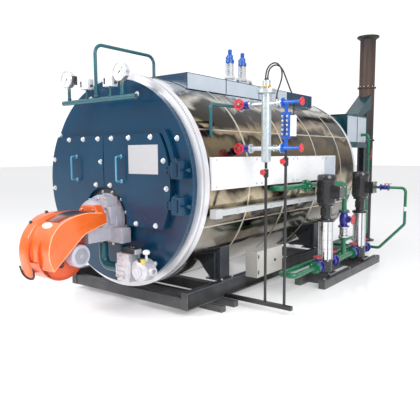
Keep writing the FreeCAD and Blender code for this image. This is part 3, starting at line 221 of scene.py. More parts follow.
sensor_cable = run_cable("sensor_cable", [
    (1.402, 0.700, 2.270), (1.402, 0.700, 2.330), (1.428, 0.706, 2.391), (1.490, 0.713, 2.411),
    (1.545, 0.722, 2.372), (1.578, 0.731, 2.288), (1.6123, 0.742, 2.194),
    (1.6483, 0.751, 2.105), (1.6723, 0.742, 2.037), (1.6813, 0.700, 1.981),
    (1.6813, 0.700, 1.925)])
column_cable = run_cable("column_cable", [
    (1.378, 0.700, 2.270), (1.378, 0.700, 2.338), (1.421, 0.690, 2.408), (1.499, 0.684, 2.428),
    (1.560, 0.681, 2.372), (1.571, 0.683, 2.288), (1.536, 0.691, 2.203), (1.502, 0.700, 2.143),
    (1.502, 0.700, 2.085)])

# --- Base frame ------------------------------------------------------------------------------
# Two channels joined by cross members, standing on sleepers, with a saddle leg under each
# corner of the shell. Rolled steel, welded, painted satin black, its edges scuffed pale and
# given a painted highlight.


def group(name, inputs, outputs):
    """A new shader node group: its tree, the links out of its input and into its output."""
    tree = bpy.data.node_groups.new(name, "ShaderNodeTree")
    for label, kind, value in inputs:
        socket = tree.interface.new_socket(label, in_out="INPUT", socket_type=kind)
        socket.default_value = value
    for label, kind in outputs:
        tree.interface.new_socket(label, in_out="OUTPUT", socket_type=kind)
    return (tree, tree.nodes.new("NodeGroupInput").outputs,
            tree.nodes.new("NodeGroupOutput").inputs)


def use(tree, wanted, sockets):
    """A node group put to use in a tree, given by its only output."""
    return node(tree, "ShaderNodeGroup", sockets, node_tree=wanted).outputs[0]


def object_place(tree):
    """The place of the shaded point in its own object."""
    return node(tree, "ShaderNodeTexCoord").outputs["Object"]


NUMBER = "NodeSocketFloat"

# Slow change over a surface, from Low to High, in the object's own place.
clouds, given, made = group("clouds", [("Scale", NUMBER, 3.0), ("Low", NUMBER, 0.0),
                                       ("High", NUMBER, 1.0)], [("Value", NUMBER)])
place = object_place(clouds)
wisps = node(clouds, "ShaderNodeTexNoise", {"Vector": place, "Scale": given["Scale"],
                                            "Detail": 5.0, "Roughness": 0.6})
spread = node(clouds, "ShaderNodeMapRange", {"Value": wisps.outputs["Fac"], "From Min": 0.3,
                                             "From Max": 0.7, "To Min": given["Low"],
                                             "To Max": given["High"]})
clouds.links.new(spread.outputs["Result"], made["Value"])

# Where paint is scuffed off and where edges carry a painted highlight: near outer edges,
# broken up by noise. The rounded normal of a small bevel differs from the true one only beside
# an edge.
edge_wear_and_highlight, given, made = group("edge_wear_and_highlight_mask", [("Width", NUMBER, 0.006), ("Wear and highlight", NUMBER, 0.5)],
                            [("Mask", NUMBER)])
soft = node(edge_wear_and_highlight, "ShaderNodeBevel", {"Radius": given["Width"]}, samples=4)
flat = node(edge_wear_and_highlight, "ShaderNodeNewGeometry").outputs["True Normal"]
facing = node(edge_wear_and_highlight, "ShaderNodeVectorMath", {0: soft.outputs["Normal"], 1: flat},
              operation="DOT_PRODUCT").outputs["Value"]
edge = node(edge_wear_and_highlight, "ShaderNodeMapRange", {"Value": facing, "From Min": 0.995,
                                           "From Max": 0.86}).outputs["Result"]
edge_breakup = node(edge_wear_and_highlight, "ShaderNodeTexNoise", {"Vector": object_place(edge_wear_and_highlight), "Scale": 22.0,
                                            "Detail": 6.0, "Roughness": 0.7}).outputs["Fac"]
edge_breakup = node(edge_wear_and_highlight, "ShaderNodeMapRange", {"Value": edge_breakup, "From Min": 0.62,
                                            "From Max": 0.42}).outputs["Result"]
wear_and_highlight = node(edge_wear_and_highlight, "ShaderNodeMath", {0: edge, 1: edge_breakup}, operation="MULTIPLY").outputs[0]
wear_and_highlight = node(edge_wear_and_highlight, "ShaderNodeMath", {0: wear_and_highlight, 1: given["Wear and highlight"]}, operation="MULTIPLY",
            use_clamp=True).outputs[0]
edge_wear_and_highlight.links.new(wear_and_highlight, made["Mask"])

# Fine unevenness of a coat or a casting, as a normal.
grain, given, made = group("grain", [("Scale", NUMBER, 90.0), ("Depth", NUMBER, 0.1)],
                           [("Normal", "NodeSocketVector")])
specks = node(grain, "ShaderNodeTexNoise", {"Vector": object_place(grain),
                                            "Scale": given["Scale"], "Detail": 3.0})
relief = node(grain, "ShaderNodeBump", {"Height": specks.outputs["Fac"],
                                        "Strength": given["Depth"], "Distance": 0.002})
grain.links.new(relief.outputs["Normal"], made["Normal"])

# Dust that settles low down, near the floor.
dust, given, made = group("floor_dust", [("Reach", NUMBER, 0.5)], [("Mask", NUMBER)])
place = object_place(dust)
drop = node(dust, "ShaderNodeMapRange",
            {"Value": node(dust, "ShaderNodeSeparateXYZ", {"Vector": place}).outputs["Z"],
             "From Max": given["Reach"], "To Min": 0.5, "To Max": 0.0}).outputs["Result"]
motes = node(dust, "ShaderNodeTexNoise", {"Vector": place, "Scale": 7.0, "Detail": 5.0})
drop = node(dust, "ShaderNodeMath", {0: drop, 1: motes.outputs["Fac"]}, operation="MULTIPLY")
dust.links.new(drop.outputs[0], made["Mask"])


def painted(name, colour, shade, roughness=0.35, coat=0.0, wear_and_highlight_level=0.25, bare_and_highlight=(0.5, 0.5, 0.5),
            reach=0.0, width=0.006, depth=0.12, patch=3.0):
    """Paint on steel: colour drifting to shade in clouds, edges given a colour that is partly
    scuffed-through paint and partly a painted highlight, dusty low down.
    """
    made, tree, shader = material(name)
    drift = use(tree, clouds, {"Scale": patch})
    skin = tint(tree, drift, colour, shade)
    # Edge colour: partly scuffed-through paint, partly a painted highlight along outer edges.
    wear_and_highlight = use(tree, edge_wear_and_highlight, {"Width": width, "Wear and highlight": wear_and_highlight_level})
    skin = tint(tree, wear_and_highlight, skin, bare_and_highlight)
    if reach:
        settled = use(tree, dust, {"Reach": reach})
        skin = tint(tree, settled, skin, (0.3, 0.28, 0.25))
    tree.links.new(skin, shader.inputs["Base Color"])
    gloss = use(tree, clouds, {"Scale": patch * 4, "Low": roughness * 0.8,
                               "High": roughness * 1.3})
    tree.links.new(gloss, shader.inputs["Roughness"])
    uneven = use(tree, grain, {"Scale": 60.0, "Depth": depth})
    tree.links.new(uneven, shader.inputs["Normal"])
    shader.inputs["Coat Weight"].default_value = coat
    shader.inputs["Coat Roughness"].default_value = 0.08
    return made


def clouded(name, first, second, scale, roughness, gloss_scale=None, metal=0.0, coat=0.0,
            grain_scale=None):
    """A bare finish whose colour drifts in clouds from first to second. Its roughness is one
    number, or drifts between two when gloss_scale is given; grain_scale adds a cast grain."""
    made, tree, shader = material(name)
    drift = use(tree, clouds, {"Scale": scale})
    tree.links.new(tint(tree, drift, first, second), shader.inputs["Base Color"])
    shader.inputs["Metallic"].default_value = metal
    shader.inputs["Coat Weight"].default_value = coat
    if gloss_scale is None:
        shader.inputs["Roughness"].default_value = roughness
    else:
        low, high = roughness
        gloss = use(tree, clouds, {"Scale": gloss_scale, "Low": low, "High": high})
        tree.links.new(gloss, shader.inputs["Roughness"])
    if grain_scale is not None:
        uneven = use(tree, grain, {"Scale": grain_scale, "Depth": 0.5})
        tree.links.new(uneven, shader.inputs["Normal"])
    return made


def dress(name, finish):
    """Gives a CAD node a finish."""
    slots = cad[name].data.materials
    slots.clear()
    slots.append(finish)


frame_black = painted("frame_black", (0.012, 0.015, 0.022), (0.03, 0.036, 0.05), 0.38,
                      wear_and_highlight_level=0.75, bare_and_highlight=(0.22, 0.24, 0.28), reach=0.3, width=0.008)
for name in ("long_beams", "frame_cross_members", "saddle_legs", "economiser_posts",
             "pump_skid"):
    dress(name, frame_black)
up, aside, toward = (0, 0, 1), (1, 0, 0), (0, -1, 0)


def shape(points, faces):
    """A solid as whole arrays: its points and its four-cornered faces."""
    return np.asarray(points, float).reshape(-1, 3), np.asarray(faces, int).reshape(-1, 4)


def net(grid, around=False, closed=False):
    """Quads between neighbours of a grid of points; around joins the last column to the first,
    and closed joins the last row to the first."""
    index = np.arange(grid.shape[0] * grid.shape[1]).reshape(grid.shape[:2])
    if around:
        index = np.concatenate([index, index[:, :1]], 1)
    if closed:
        index = np.concatenate([index, index[:1]], 0)
    return shape(grid, np.stack([index[:-1, :-1], index[:-1, 1:], index[1:, 1:],
                                 index[1:, :-1]], -1))


def joined(solids):
    """Several solids as one, each one's face numbers moved past the points before it."""
    counts = np.cumsum([0] + [len(points) for points, _ in solids[:-1]])
    return shape(np.concatenate([points for points, _ in solids]),
                 np.concatenate([faces + start for (_, faces), start in zip(solids, counts)]))


def turn_to(axis):
    """A turning matrix whose third column is the axis: e1 and e2 are square to it."""
    third = np.asarray(axis, float) / np.linalg.norm(axis)
    side = np.array([0, 0, 1.0]) if abs(third[2]) < 0.9 else np.array([1.0, 0, 0])
    first = np.cross(side, third)
    first /= np.linalg.norm(first)
    return np.stack([first, np.cross(third, first), third], 1)


def turned(profile, at=(0, 0, 0), axis=up, sides=40):
    """A turned solid: P(h, t) = at + h * axis + r(h) * (cos t * e1 + sin t * e2), for each
    (radius, height) of the profile."""
    radius, along = np.asarray(profile, float).T
    angle = np.linspace(0, 2 * np.pi, sides, endpoint=False)
    square = turn_to(axis)
    grid = (np.asarray(at, float) + along[:, None, None] * square[:, 2]
            + radius[:, None, None] * (np.cos(angle)[None, :, None] * square[:, 0]
                                       + np.sin(angle)[None, :, None] * square[:, 1]))
    return net(grid, around=True)


def prism(corners):
    """A six-sided block from eight corners: four round one end, then the same four round the
    other."""
    return shape(corners, [[0, 3, 2, 1], [4, 5, 6, 7], [0, 1, 5, 4], [1, 2, 6, 5], [2, 3, 7, 6],
                           [3, 0, 4, 7]])


def slab(low, high):
    """A box between two corners."""
    low, high = np.asarray(low, float), np.asarray(high, float)
    pick = np.array([[0, 0, 0], [1, 0, 0], [1, 1, 0], [0, 1, 0],
                     [0, 0, 1], [1, 0, 1], [1, 1, 1], [0, 1, 1]])
    return prism(low + pick * (high - low))


def block(low, high):
    """A box between two places."""
    return slab(spot(*low), spot(*high))


def disc(radius, low, high, at=(0, 0, 0), axis=up, sides=40):
    """A plain disc or rod of one radius between two heights on its axis."""
    return turned([(0, low), (radius, low), (radius, high), (0, high)], at, axis, sides)


def circle(centre, radius, count, start=0.0, axis="z"):
    """Places spread evenly round a centre: centre + radius * (cos t * u + sin t * v), where u
    and v are the two directions square to the axis and t begins at start degrees."""
    u, v = {"x": (1, 2), "y": (0, 2), "z": (0, 1)}[axis]
    turns = np.radians(start + np.arange(count) * 360 / count)
    places = np.tile(np.asarray(centre, float), (count, 1))
    places[:, u] += radius * np.cos(turns)
    places[:, v] += radius * np.sin(turns)
    return list(places)


def repeated(solid, places, axes):
    """One solid drawn about the origin, set at each place with its +Z along that place's axis."""
    points, faces = solid
    places = np.asarray(places, float).reshape(-1, 3)
    axes = np.broadcast_to(np.asarray(axes, float), places.shape)
    turns = np.stack([turn_to(axis) for axis in axes])
    spread = np.einsum("nij,pj->npi", turns, points) + places[:, None]
    shift = np.arange(len(places))[:, None, None] * len(points)
    return shape(spread, faces[None] + shift)


def piece(name, solids, finish, body="boiler", bevel=0.0, crease=38, steps=2):
    """Joins solids into one object, closes its seams, turns its faces out, smooths what is
    rounder than the crease angle, and makes it ride on a body."""
    points, faces = joined(solids if isinstance(solids, list) else [solids])
    mesh = bpy.data.meshes.new(name)
    mesh.from_pydata(points.tolist(), [], faces.tolist())
    work = bmesh.new()
    work.from_mesh(mesh)
    bmesh.ops.remove_doubles(work, verts=work.verts, dist=2e-6)
    bmesh.ops.dissolve_degenerate(work, edges=work.edges, dist=1e-6)
    bmesh.ops.recalc_face_normals(work, faces=work.faces)
    work.to_mesh(mesh)
    work.free()
    mesh.shade_smooth()
    mesh.set_sharp_from_angle(angle=math.radians(crease))
    mesh.materials.append(finish)
    made = bpy.data.objects.new(name, mesh)
    bpy.context.scene.collection.objects.link(made)
    if bevel:
        soft_edge = made.modifiers.new("rounded", "BEVEL")
        soft_edge.width = bevel
        soft_edge.segments = steps
        soft_edge.limit_method = "ANGLE"
        soft_edge.angle_limit = math.radians(crease)
    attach(made, body)
    return made


washer = disc(0.019, 0, 0.003)
bolt_head = turned([(0, 0.003), (0.0145, 0.003), (0.0145, 0.011), (0.012, 0.0135), (0, 0.0135)],
                   sides=6)
hex_bolt = joined([washer, bolt_head])
foot_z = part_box("saddle_legs")[0].z
leg_inner = 0.72
feet, foot_bolts, ribs = [], [], []
for side in (-1, 1):
    for start in (0.68, 2.9):
        inner, outer = sorted((side * (leg_inner - 0.05), side * 0.896))
        feet.append(block((inner, start - 0.03, foot_z), (outer, start + 0.19, foot_z + 0.014)))
        foot_bolts += [spot(side * x, y, foot_z + 0.014)
                       for x in (leg_inner - 0.025, 0.872) for y in (start - 0.012, start + 0.172)]
        ribs += [block((side * 0.79 - 0.006, start - 0.03, foot_z + 0.012),
                       (side * 0.79 + 0.006, start + 0.0005, foot_z + 0.43))]
piece("leg_foot_plates", feet + ribs, frame_black, bevel=0.002)
zinc = clouded("zinc_plate", (0.72, 0.73, 0.75), (0.5, 0.51, 0.5), 30, (0.22, 0.42),
               gloss_scale=60, metal=1.0)


def fasten(name, fastener, places, axis, finish=zinc, body="boiler"):
    """One object from a fastener set at each of its places."""
    return piece(name, repeated(fastener, places, axis), finish, body=body)


fasten("leg_bolts", hex_bolt, foot_bolts, up)

# --- Shell cladding --------------------------------------------------------------------------
# Mirror stainless sheet wrapped round the insulation in four courses. The sheets are lapped and
# riveted along the bands, folded together along the top and sides, and are slightly rippled.

shell_radius = (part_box("shell_cladding")[1].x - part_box("shell_cladding")[0].x) / 2
shell_front, shell_rear = 0.12, 3.72


def round_place(angle, y, radius):
    """A place on the shell: angle from the top towards +X, distance back, radius."""
    return np.stack([datum[0] + radius * np.sin(angle), datum[1] + y + 0 * angle,
                     axis_z + radius * np.cos(angle)], -1)


def rippled_sheet():
    """r(t, y) = R - a * (1 + sin(5t + 3 sin 2y) * cos(1.9y + 2 sin 3t)) / 2, with the sheet's
    inner face 3 mm below, so the tube is closed."""
    y = np.linspace(shell_front, shell_rear, 150)
    angle = np.linspace(0, 2 * np.pi, 240, endpoint=False)[:, None]
    ripple = (1 + np.sin(5 * angle + 3 * np.sin(2 * y)) * np.cos(1.9 * y
                                                               + 2 * np.sin(3 * angle))) / 2
    outer = round_place(angle, y, shell_radius - 0.0035 * ripple)
    inner = round_place(angle, y[::-1], shell_radius - 0.0065 + 0 * ripple)
    return net(np.concatenate([outer, inner], 1), around=True, closed=True)


# The sheet is metallic, and its colour holds a painted reflection: bands set by the angle round
# the shell, near white at the top, olive-brown, tan and near-black lower down.
mirror, tree, shader = material("mirror_stainless")
place = object_place(tree)
centred = node(tree, "ShaderNodeMapping", {"Vector": place,
                                           "Location": (-datum[0], -datum[1], -axis_z)})
parts = node(tree, "ShaderNodeSeparateXYZ", {"Vector": centred.outputs["Vector"]})
angle = node(tree, "ShaderNodeMath", {0: parts.outputs["X"], 1: parts.outputs["Z"]},
             operation="ARCTAN2").outputs[0]
angle = node(tree, "ShaderNodeMath", {0: angle}, operation="ABSOLUTE").outputs[0]
sway = node(tree, "ShaderNodeTexNoise", {"Vector": centred.outputs["Vector"], "Scale": 1.5,
                                         "Detail": 5.0, "Distortion": 1.2}).outputs["Fac"]
angle = node(tree, "ShaderNodeMath", {0: sway, 1: 0.75, 2: angle}, operation="MULTIPLY_ADD")
band = node(tree, "ShaderNodeMapRange", {"Value": angle.outputs[0], "From Min": 0.375,
                                         "From Max": 3.5}).outputs["Result"]
painted_reflection_bands = ramp(tree, band, [(0.0, (0.95, 0.95, 0.96)), (0.165, (0.9, 0.88, 0.85)),
                         (0.19, (0.02, 0.017, 0.014)), (0.22, (0.6, 0.56, 0.5)),
                         (0.245, (0.015, 0.012, 0.01)), (0.3, (0.04, 0.03, 0.02)),
                         (0.335, (0.42, 0.32, 0.2)), (0.36, (0.012, 0.01, 0.008)),
                         (0.4, (0.2, 0.15, 0.09)), (0.47, (0.16, 0.12, 0.075)),
                         (0.5, (0.025, 0.02, 0.014)), (0.56, (0.5, 0.42, 0.3)),
                         (0.6, (0.03, 0.024, 0.018)), (0.68, (0.3, 0.27, 0.23)),
                         (0.8, (0.5, 0.49, 0.47)), (1.0, (0.6, 0.6, 0.6))])
# Painted reflection streaks: a noise stretched along the shell lightens and darkens the bands.
streaks = node(tree, "ShaderNodeTexNoise", {"Vector": node(
    tree, "ShaderNodeMapping", {"Vector": place, "Scale": (6.0, 0.7, 6.0)}).outputs["Vector"],
    "Scale": 1.6, "Detail": 5.0}).outputs["Fac"]
streaks = node(tree, "ShaderNodeMapRange", {"Value": streaks, "From Min": 0.42,
                                            "From Max": 0.62}).outputs["Result"]
tree.links.new(tint(tree, streaks, painted_reflection_bands, (0.62, 0.6, 0.55), "SOFT_LIGHT"),
               shader.inputs["Base Color"])
shader.inputs["Metallic"].default_value = 1.0
tree.links.new(use(tree, clouds, {"Scale": 2.5, "Low": 0.05, "High": 0.2}),
               shader.inputs["Roughness"])
waves = node(tree, "ShaderNodeTexNoise", {"Vector": node(
    tree, "ShaderNodeMapping", {"Vector": place, "Scale": (1.0, 0.5, 1.0)}).outputs["Vector"],
    "Scale": 3.0, "Detail": 2.0})
tree.links.new(node(tree, "ShaderNodeBump", {"Height": waves.outputs["Fac"], "Strength": 0.35,
                                             "Distance": 0.03}).outputs["Normal"],
               shader.inputs["Normal"])
wrap = piece("cladding_sheets", rippled_sheet(), mirror, crease=60)
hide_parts("front_cladding", "shell_cladding")
dress("front_cladding", mirror)
dress("shell_cladding", mirror)


def wrapped_band(y, width, lift, start=0.0, end=2 * np.pi, sides=200):
    """A strip round the shell: a shallow arched section carried from one angle to another."""
    angle = np.linspace(start, end, sides)[:, None]
    across = np.array([-0.5, -0.42, -0.3, 0.3, 0.42, 0.5, 0.5, -0.5])
    height = np.array([0.0, 0.7, 1.0, 1.0, 0.7, 0.0, -2.0, -2.0])
    return net(round_place(angle, y + across * width, shell_radius + height * lift),
               around=True)


def long_fold(angle, start, end, width, lift):
    """A folded seam along the shell: the same section laid across an angle."""
    y = np.linspace(start, end, 60)[:, None]
    across = np.array([-0.5, -0.35, 0.0, 0.4, 0.5, 0.5, -0.5])
    height = np.array([0.0, 0.8, 1.0, 0.8, 0.0, -2.0, -2.0])
    return net(round_place(angle + across * width / shell_radius + 0 * y, y,
                           shell_radius + height * lift), around=True)


lap_places = [0.86, 1.66, 2.46, 3.2]
seam_angles = np.radians([12, 62, 112, 160, -12, -62, -112, -160])
seams = [wrapped_band(y, 0.03, 0.002) for y in lap_places]
seams += [long_fold(angle, shell_front + 0.002, shell_rear - 0.06, 0.016, 0.003)
          for angle in seam_angles]
seam_steel, tree, shader = material("seam_steel")
shader.inputs["Metallic"].default_value = 1.0
shader.inputs["Roughness"].default_value = 0.28
tree.links.new(tint(tree, use(tree, clouds, {"Scale": 5.0}), (0.55, 0.47, 0.34),
                    (0.78, 0.74, 0.66)),
               shader.inputs["Base Color"])
piece("cladding_seams", seams, seam_steel)
pop_rivet = turned([(0, 0.0022), (0.003, 0.0018), (0.0045, 0), (0.0045, -0.002), (0, -0.002)],
                   sides=8)
turns = np.tile(np.linspace(0, 2 * np.pi, 84, endpoint=False), len(lap_places))
backs = np.repeat(lap_places, 84)
outward = np.stack([np.sin(turns), 0 * turns, np.cos(turns)], -1)
rivets = np.stack([datum[0] + (shell_radius + 0.002) * np.sin(turns), datum[1] + backs,
                   axis_z + (shell_radius + 0.002) * np.cos(turns)], -1)
fasten("cladding_rivets", pop_rivet, rivets, outward)

# The trim rings are rolled from bright strip, and the front one is punched with a double row of
# small vents.


def brushed(name, first, second, stretch, scale, detail, roughness, metal):
    """Drawn or brushed metal: fine streaks, noise squeezed by stretch, run from first to second
    and from the smoother to the rougher."""
    made, tree, shader = material(name)
    shader.inputs["Metallic"].default_value = metal
    place = object_place(tree)
    place = node(tree, "ShaderNodeMapping", {"Vector": place, "Scale": stretch})
    streaks = node(tree, "ShaderNodeTexNoise", {"Vector": place.outputs["Vector"],
                                                "Scale": scale, "Detail": detail}).outputs["Fac"]
    tree.links.new(tint(tree, streaks, first, second), shader.inputs["Base Color"])
    low, high = roughness
    gloss = node(tree, "ShaderNodeMapRange", {"Value": streaks, "To Min": low, "To Max": high})
    tree.links.new(gloss.outputs["Result"], shader.inputs["Roughness"])
    return made


ring_steel = brushed("ring_steel", (0.93, 0.93, 0.95), (0.74, 0.74, 0.78), (1, 60, 1), 9, 3,
                     (0.25, 0.45), 0.55)
dress("trim_rings", ring_steel)
# The vent holes are painted shade: small near-black discs set into the front ring.
painted_hole_shade = clouded("painted_hole_shade", (0.02, 0.02, 0.025), (0.07, 0.07, 0.08), 40, 0.6)
vent = turned([(0, 0.0012), (0.0042, 0.0012), (0.0055, 0.0003), (0.0055, -0.001), (0, -0.001)],
              sides=8)
turns = np.linspace(0, 2 * np.pi, 300, endpoint=False)
ring_top = shell_radius + 0.004
vents = []
for y, shift in ((0.085, 0.0), (0.1, 0.5)):
    angle = turns + shift * 2 * np.pi / 300
    outward = np.stack([np.sin(angle), 0 * angle, np.cos(angle)], -1)
    vents.append(repeated(vent, round_place(angle, y, ring_top), outward))
piece("ring_vents", vents, painted_hole_shade)

# --- Smokebox plate and doors ----------------------------------------------------------------
# A flat round plate closes the front of the boiler, and two halves of a round door lie on it.
# Steel plate in petrol blue enamel, a little uneven from welding, with domed clamp nuts.

petrol = (0.0, 0.05, 0.115)
petrol_deep = (0.0, 0.026, 0.066)
boiler_teal = painted("boiler_teal", petrol, petrol_deep, 0.22, coat=0.15, wear_and_highlight_level=0.3,
                      bare_and_highlight=(0.05, 0.25, 0.36), patch=1.3, depth=0.18)
for name in ("front_plate", "smokebox_barrel", "tube_sheet", "left_door", "right_door",
             "hinge_brackets", "rear_plate", "top_walkway"):
    dress(name, boiler_teal)
face = -0.065
nut_profile = [(0, 0), (0.026, 0), (0.026, 0.004), (0.0175, 0.006), (0.0175, 0.016),
               (0.0145, 0.023), (0.008, 0.027), (0, 0.028)]
clamp_nut = joined([turned(nut_profile[:4] + [(0, 0.006)], sides=24),
                    turned([(0, 0.006)] + nut_profile[3:5] + [(0, 0.017)], sides=6),
                    turned([(0.0172, 0.0155)] + nut_profile[5:], sides=20)])
plated = clouded("bright_nuts", (0.9, 0.91, 0.93), (0.62, 0.65, 0.68), 25, (0.18, 0.35),
                 gloss_scale=40, metal=0.35)
on_left = [(-0.66, 1.737), (-0.42, 1.737), (-0.18, 1.737), (-0.145, 1.5), (-0.94, 1.52),
           (-0.95, 1.2), (-0.5, 0.89), (-0.78, 0.89), (-0.23, 1.26)]
on_right = [(0.03, 1.737), (0.28, 1.737), (0.58, 1.737), (0.744, 1.513), (0.777, 1.252),
            (0.362, 0.892), (0.63, 0.892), (-0.01, 1.26)]
on_plate = [(-0.9, 1.79), (0.86, 1.72), (-0.35, 2.16), (0.35, 2.16), (-0.72, 0.6), (0.55, 0.5)]
fasten("left_door_nuts", clamp_nut, [spot(x, face, z) for x, z in on_left], toward,
       finish=plated)
fasten("right_door_nuts", clamp_nut, [spot(x, face, z) for x, z in on_right], toward,
       finish=plated, body="right_door")
fasten("plate_nuts", clamp_nut, [spot(x, 0, z) for x, z in on_plate], toward,
       finish=plated)

# The door halves meet under a cover strip.
piece("seam_strip", block((-0.125, face - 0.006, 1.235), (-0.105, face + 0.001, 1.768)),
      boiler_teal, bevel=0.002)
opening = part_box("burner_flange")
burner_x, burner_z = -0.1, (opening[0].z + opening[1].z) / 2

# --- Door handles and nameplate --------------------------------------------------------------
# Each door half has a handle of bent rod, enamelled pale blue, on two round welded feet. A bare
# sheet for the nameplate is riveted to the hinged half.

handle_blue = painted("handle_blue", (0.12, 0.42, 0.62), (0.05, 0.24, 0.42), 0.25, coat=0.3,
                      wear_and_highlight_level=0.4, bare_and_highlight=(0.5, 0.6, 0.65))
dress("right_door_handle", handle_blue)
handle_heights = (1.305, 1.555)
left_handle_x = -0.545
foot_disc = turned([(0, 0), (0.02, 0), (0.02, 0.003), (0.013, 0.006), (0.0095, 0.012),
                    (0, 0.012)], sides=24)
fasten("right_handle_feet", foot_disc, [spot(0.165, face, z) for z in handle_heights], toward,
       finish=handle_blue, body="right_door")


def bent_rod(points, radius, bend, sides=20):
    """A round rod along straight runs with rounded corners: at each corner the centre line
    follows P(t) = C + b * (sin t * out - cos t * side), and the section is a circle square to
    it."""
    path = [np.asarray(point, float) for point in points]
    line = [path[0]]
    for before, corner, after in zip(path, path[1:], path[2:]):
        into = (corner - before) / np.linalg.norm(corner - before)
        out = (after - corner) / np.linalg.norm(after - corner)
        half = math.acos(np.clip(into @ out, -1, 1)) / 2
        start, end = corner - into * bend * math.tan(half), corner + out * bend * math.tan(half)
        share = np.linspace(0, 1, 9)[:, None]
        line += list((1 - share) ** 2 * start + 2 * share * (1 - share) * corner
                     + share ** 2 * end)
    line = np.array(line + [path[-1]])
    return swept(line, radius, sides)


def swept(line, radius, sides=20):
    """A round bar along a line: P(s, t) = c(s) + r(s) * (cos t * n(s) + sin t * b(s)), where n
    is carried along so that it never twists; its ends are closed."""
    line = np.asarray(line, float)
    radius = np.broadcast_to(np.asarray(radius, float), len(line))
    along = np.gradient(line, axis=0)
    along /= np.linalg.norm(along, axis=1)[:, None]
    normal = [turn_to(along[0])[:, 0]]
    for heading in along[1:]:
        carried = normal[-1] - heading * (normal[-1] @ heading)
        normal.append(carried / np.linalg.norm(carried))
    normal = np.array(normal)
    other = np.cross(along, normal)
    angle = np.linspace(0, 2 * np.pi, sides, endpoint=False)[None, :, None]
    ring = np.cos(angle) * normal[:, None] + np.sin(angle) * other[:, None]
    grid = line[:, None] + radius[:, None, None] * ring
    ends = line[[0, -1]][:, None] + 0 * ring[[0, -1]]
    return net(np.concatenate([ends[:1], grid, ends[1:]]), around=True)


piece("left_handle_sleeve", bent_rod(
    [spot(left_handle_x, y, z) for y, z in ((face, 1.555), (face - 0.07, 1.555),
                                            (face - 0.07, 1.305), (face, 1.305))],
    0.0098, 0.02), handle_blue)
fasten("left_handle_feet", foot_disc, [spot(left_handle_x, face, z) for z in handle_heights],
       toward, finish=handle_blue)
bare_sheet = brushed("bare_name_sheet", (0.7, 0.7, 0.72), (0.52, 0.52, 0.54), (2, 1, 90), 6, 3,
                     (0.3, 0.5), 0.6)
dress("nameplate", bare_sheet)
fasten("nameplate_rivets", pop_rivet, [spot(x, face - 0.003, z) for x in (0.288, 0.475, 0.662)
                                       for z in (1.398, 1.652)], toward,
       body="right_door")
name_frame = [block((0.285, face - 0.0045, z - 0.002), (0.665, face - 0.0028, z + 0.002))
              for z in (1.412, 1.638)]
piece("nameplate_lines", name_frame, bare_sheet, body="right_door")

# --- Hinges ----------------------------------------------------------------------------------
# Each hinge is a barrel between two lugs on a heavy pin. The pin has a domed head with a grease
# nipple, and the hinge's strap is bolted to the door.

hinge_heights = (1.43, 1.10)
hinge_pins = []
for z in hinge_heights:
    hinge_pins += [turned([(0, 0), (0.03, 0), (0.03, 0.008), (0.024, 0.014), (0.008, 0.017),
                           (0.006, 0.03), (0, 0.031)], spot(0.905, -0.08, z + 0.081))]
piece("hinge_pin_heads", hinge_pins, boiler_teal)
strap_bolts = [spot(x, face - 0.026, z + rise) for z in hinge_heights for x in (0.8, 0.85)
               for rise in (-0.02, 0.02)]
fasten("hinge_strap_bolts", hex_bolt, strap_bolts, toward, finish=boiler_teal,
       body="right_door")
side_pins = [turned([(0, 0), (0.012, 0), (0.012, 0.05), (0.018, 0.052), (0.018, 0.062),
                     (0, 0.064)], spot(0.983, -0.05, z), aside) for z in hinge_heights]
piece("hinge_side_pins", side_pins, boiler_teal)

# --- Burner ----------------------------------------------------------------------------------
# A gas burner bolted to the door plate: a cast aluminium head, a moulded orange hood with a
# smoked window over the air box, a red-orange fan scroll below it and the fan's grey motor.

cast = painted("burner_casting", (0.5, 0.49, 0.55), (0.36, 0.35, 0.42), 0.42, wear_and_highlight_level=0.3,
               bare_and_highlight=(0.75, 0.75, 0.8), depth=0.5, patch=6)
dress("burner_head", cast)
black_enamel = painted("black_enamel", (0.01, 0.01, 0.012), (0.03, 0.03, 0.034), 0.3, coat=0.3,
                       wear_and_highlight_level=0.3, bare_and_highlight=(0.18, 0.18, 0.2))
dress("burner_flange", black_enamel)
head_front = -0.152
fins = []
for turn in np.radians(np.arange(20, 361, 20)):
    radial = np.array([math.cos(turn), 0, math.sin(turn)])
    across = np.array([-math.sin(turn), 0, math.cos(turn)]) * 0.005
    inner = spot(burner_x, 0, burner_z) + radial * 0.2
    outer = spot(burner_x, 0, burner_z) + radial * 0.2475
    deep, near = np.array([0, -0.03, 0]), np.array([0, head_front + 0.03, 0])
    thin, tip = across * 0.6, near - [0, 0.025, 0]
    fins.append(prism([inner - across + deep, inner + across + deep, outer + across + deep,
                       outer - across + deep, inner - thin + tip, inner + thin + tip,
                       outer + thin + near, outer - thin + near]))
head_dome = turned([(0, 0.075), (0.05, 0.074), (0.11, 0.066), (0.16, 0.05), (0.195, 0.03),
                    (0.2055, 0.01), (0.2055, 0.0), (0, 0.0)],
                   spot(burner_x, head_front - 0.0775, burner_z), toward, sides=64)
collar = turned([(0.2, 0), (0.256, 0), (0.26, 0.004), (0.26, 0.014), (0.25, 0.018), (0.2, 0.018)],
                spot(burner_x, -0.022, burner_z), toward, sides=64)
head_boxes = [block((0.06, -0.148, burner_z - 0.222), (0.253, -0.04, burner_z - 0.072)),
              block((-0.03, -0.21, burner_z + 0.12), (0.09, -0.06, burner_z + 0.235)),
              block((-0.21, -0.19, burner_z + 0.06), (-0.08, -0.06, burner_z + 0.21)),
              block((0.09, -0.2, burner_z - 0.03), (0.14, -0.05, burner_z + 0.14))]
piece("head_casting", fins + [head_dome, collar] + head_boxes, cast,
      bevel=0.006)
ring_bolts = circle(spot(burner_x, -0.022, burner_z), 0.278, 12, start=15, axis="y")
fasten("head_bolts", hex_bolt, ring_bolts, toward)
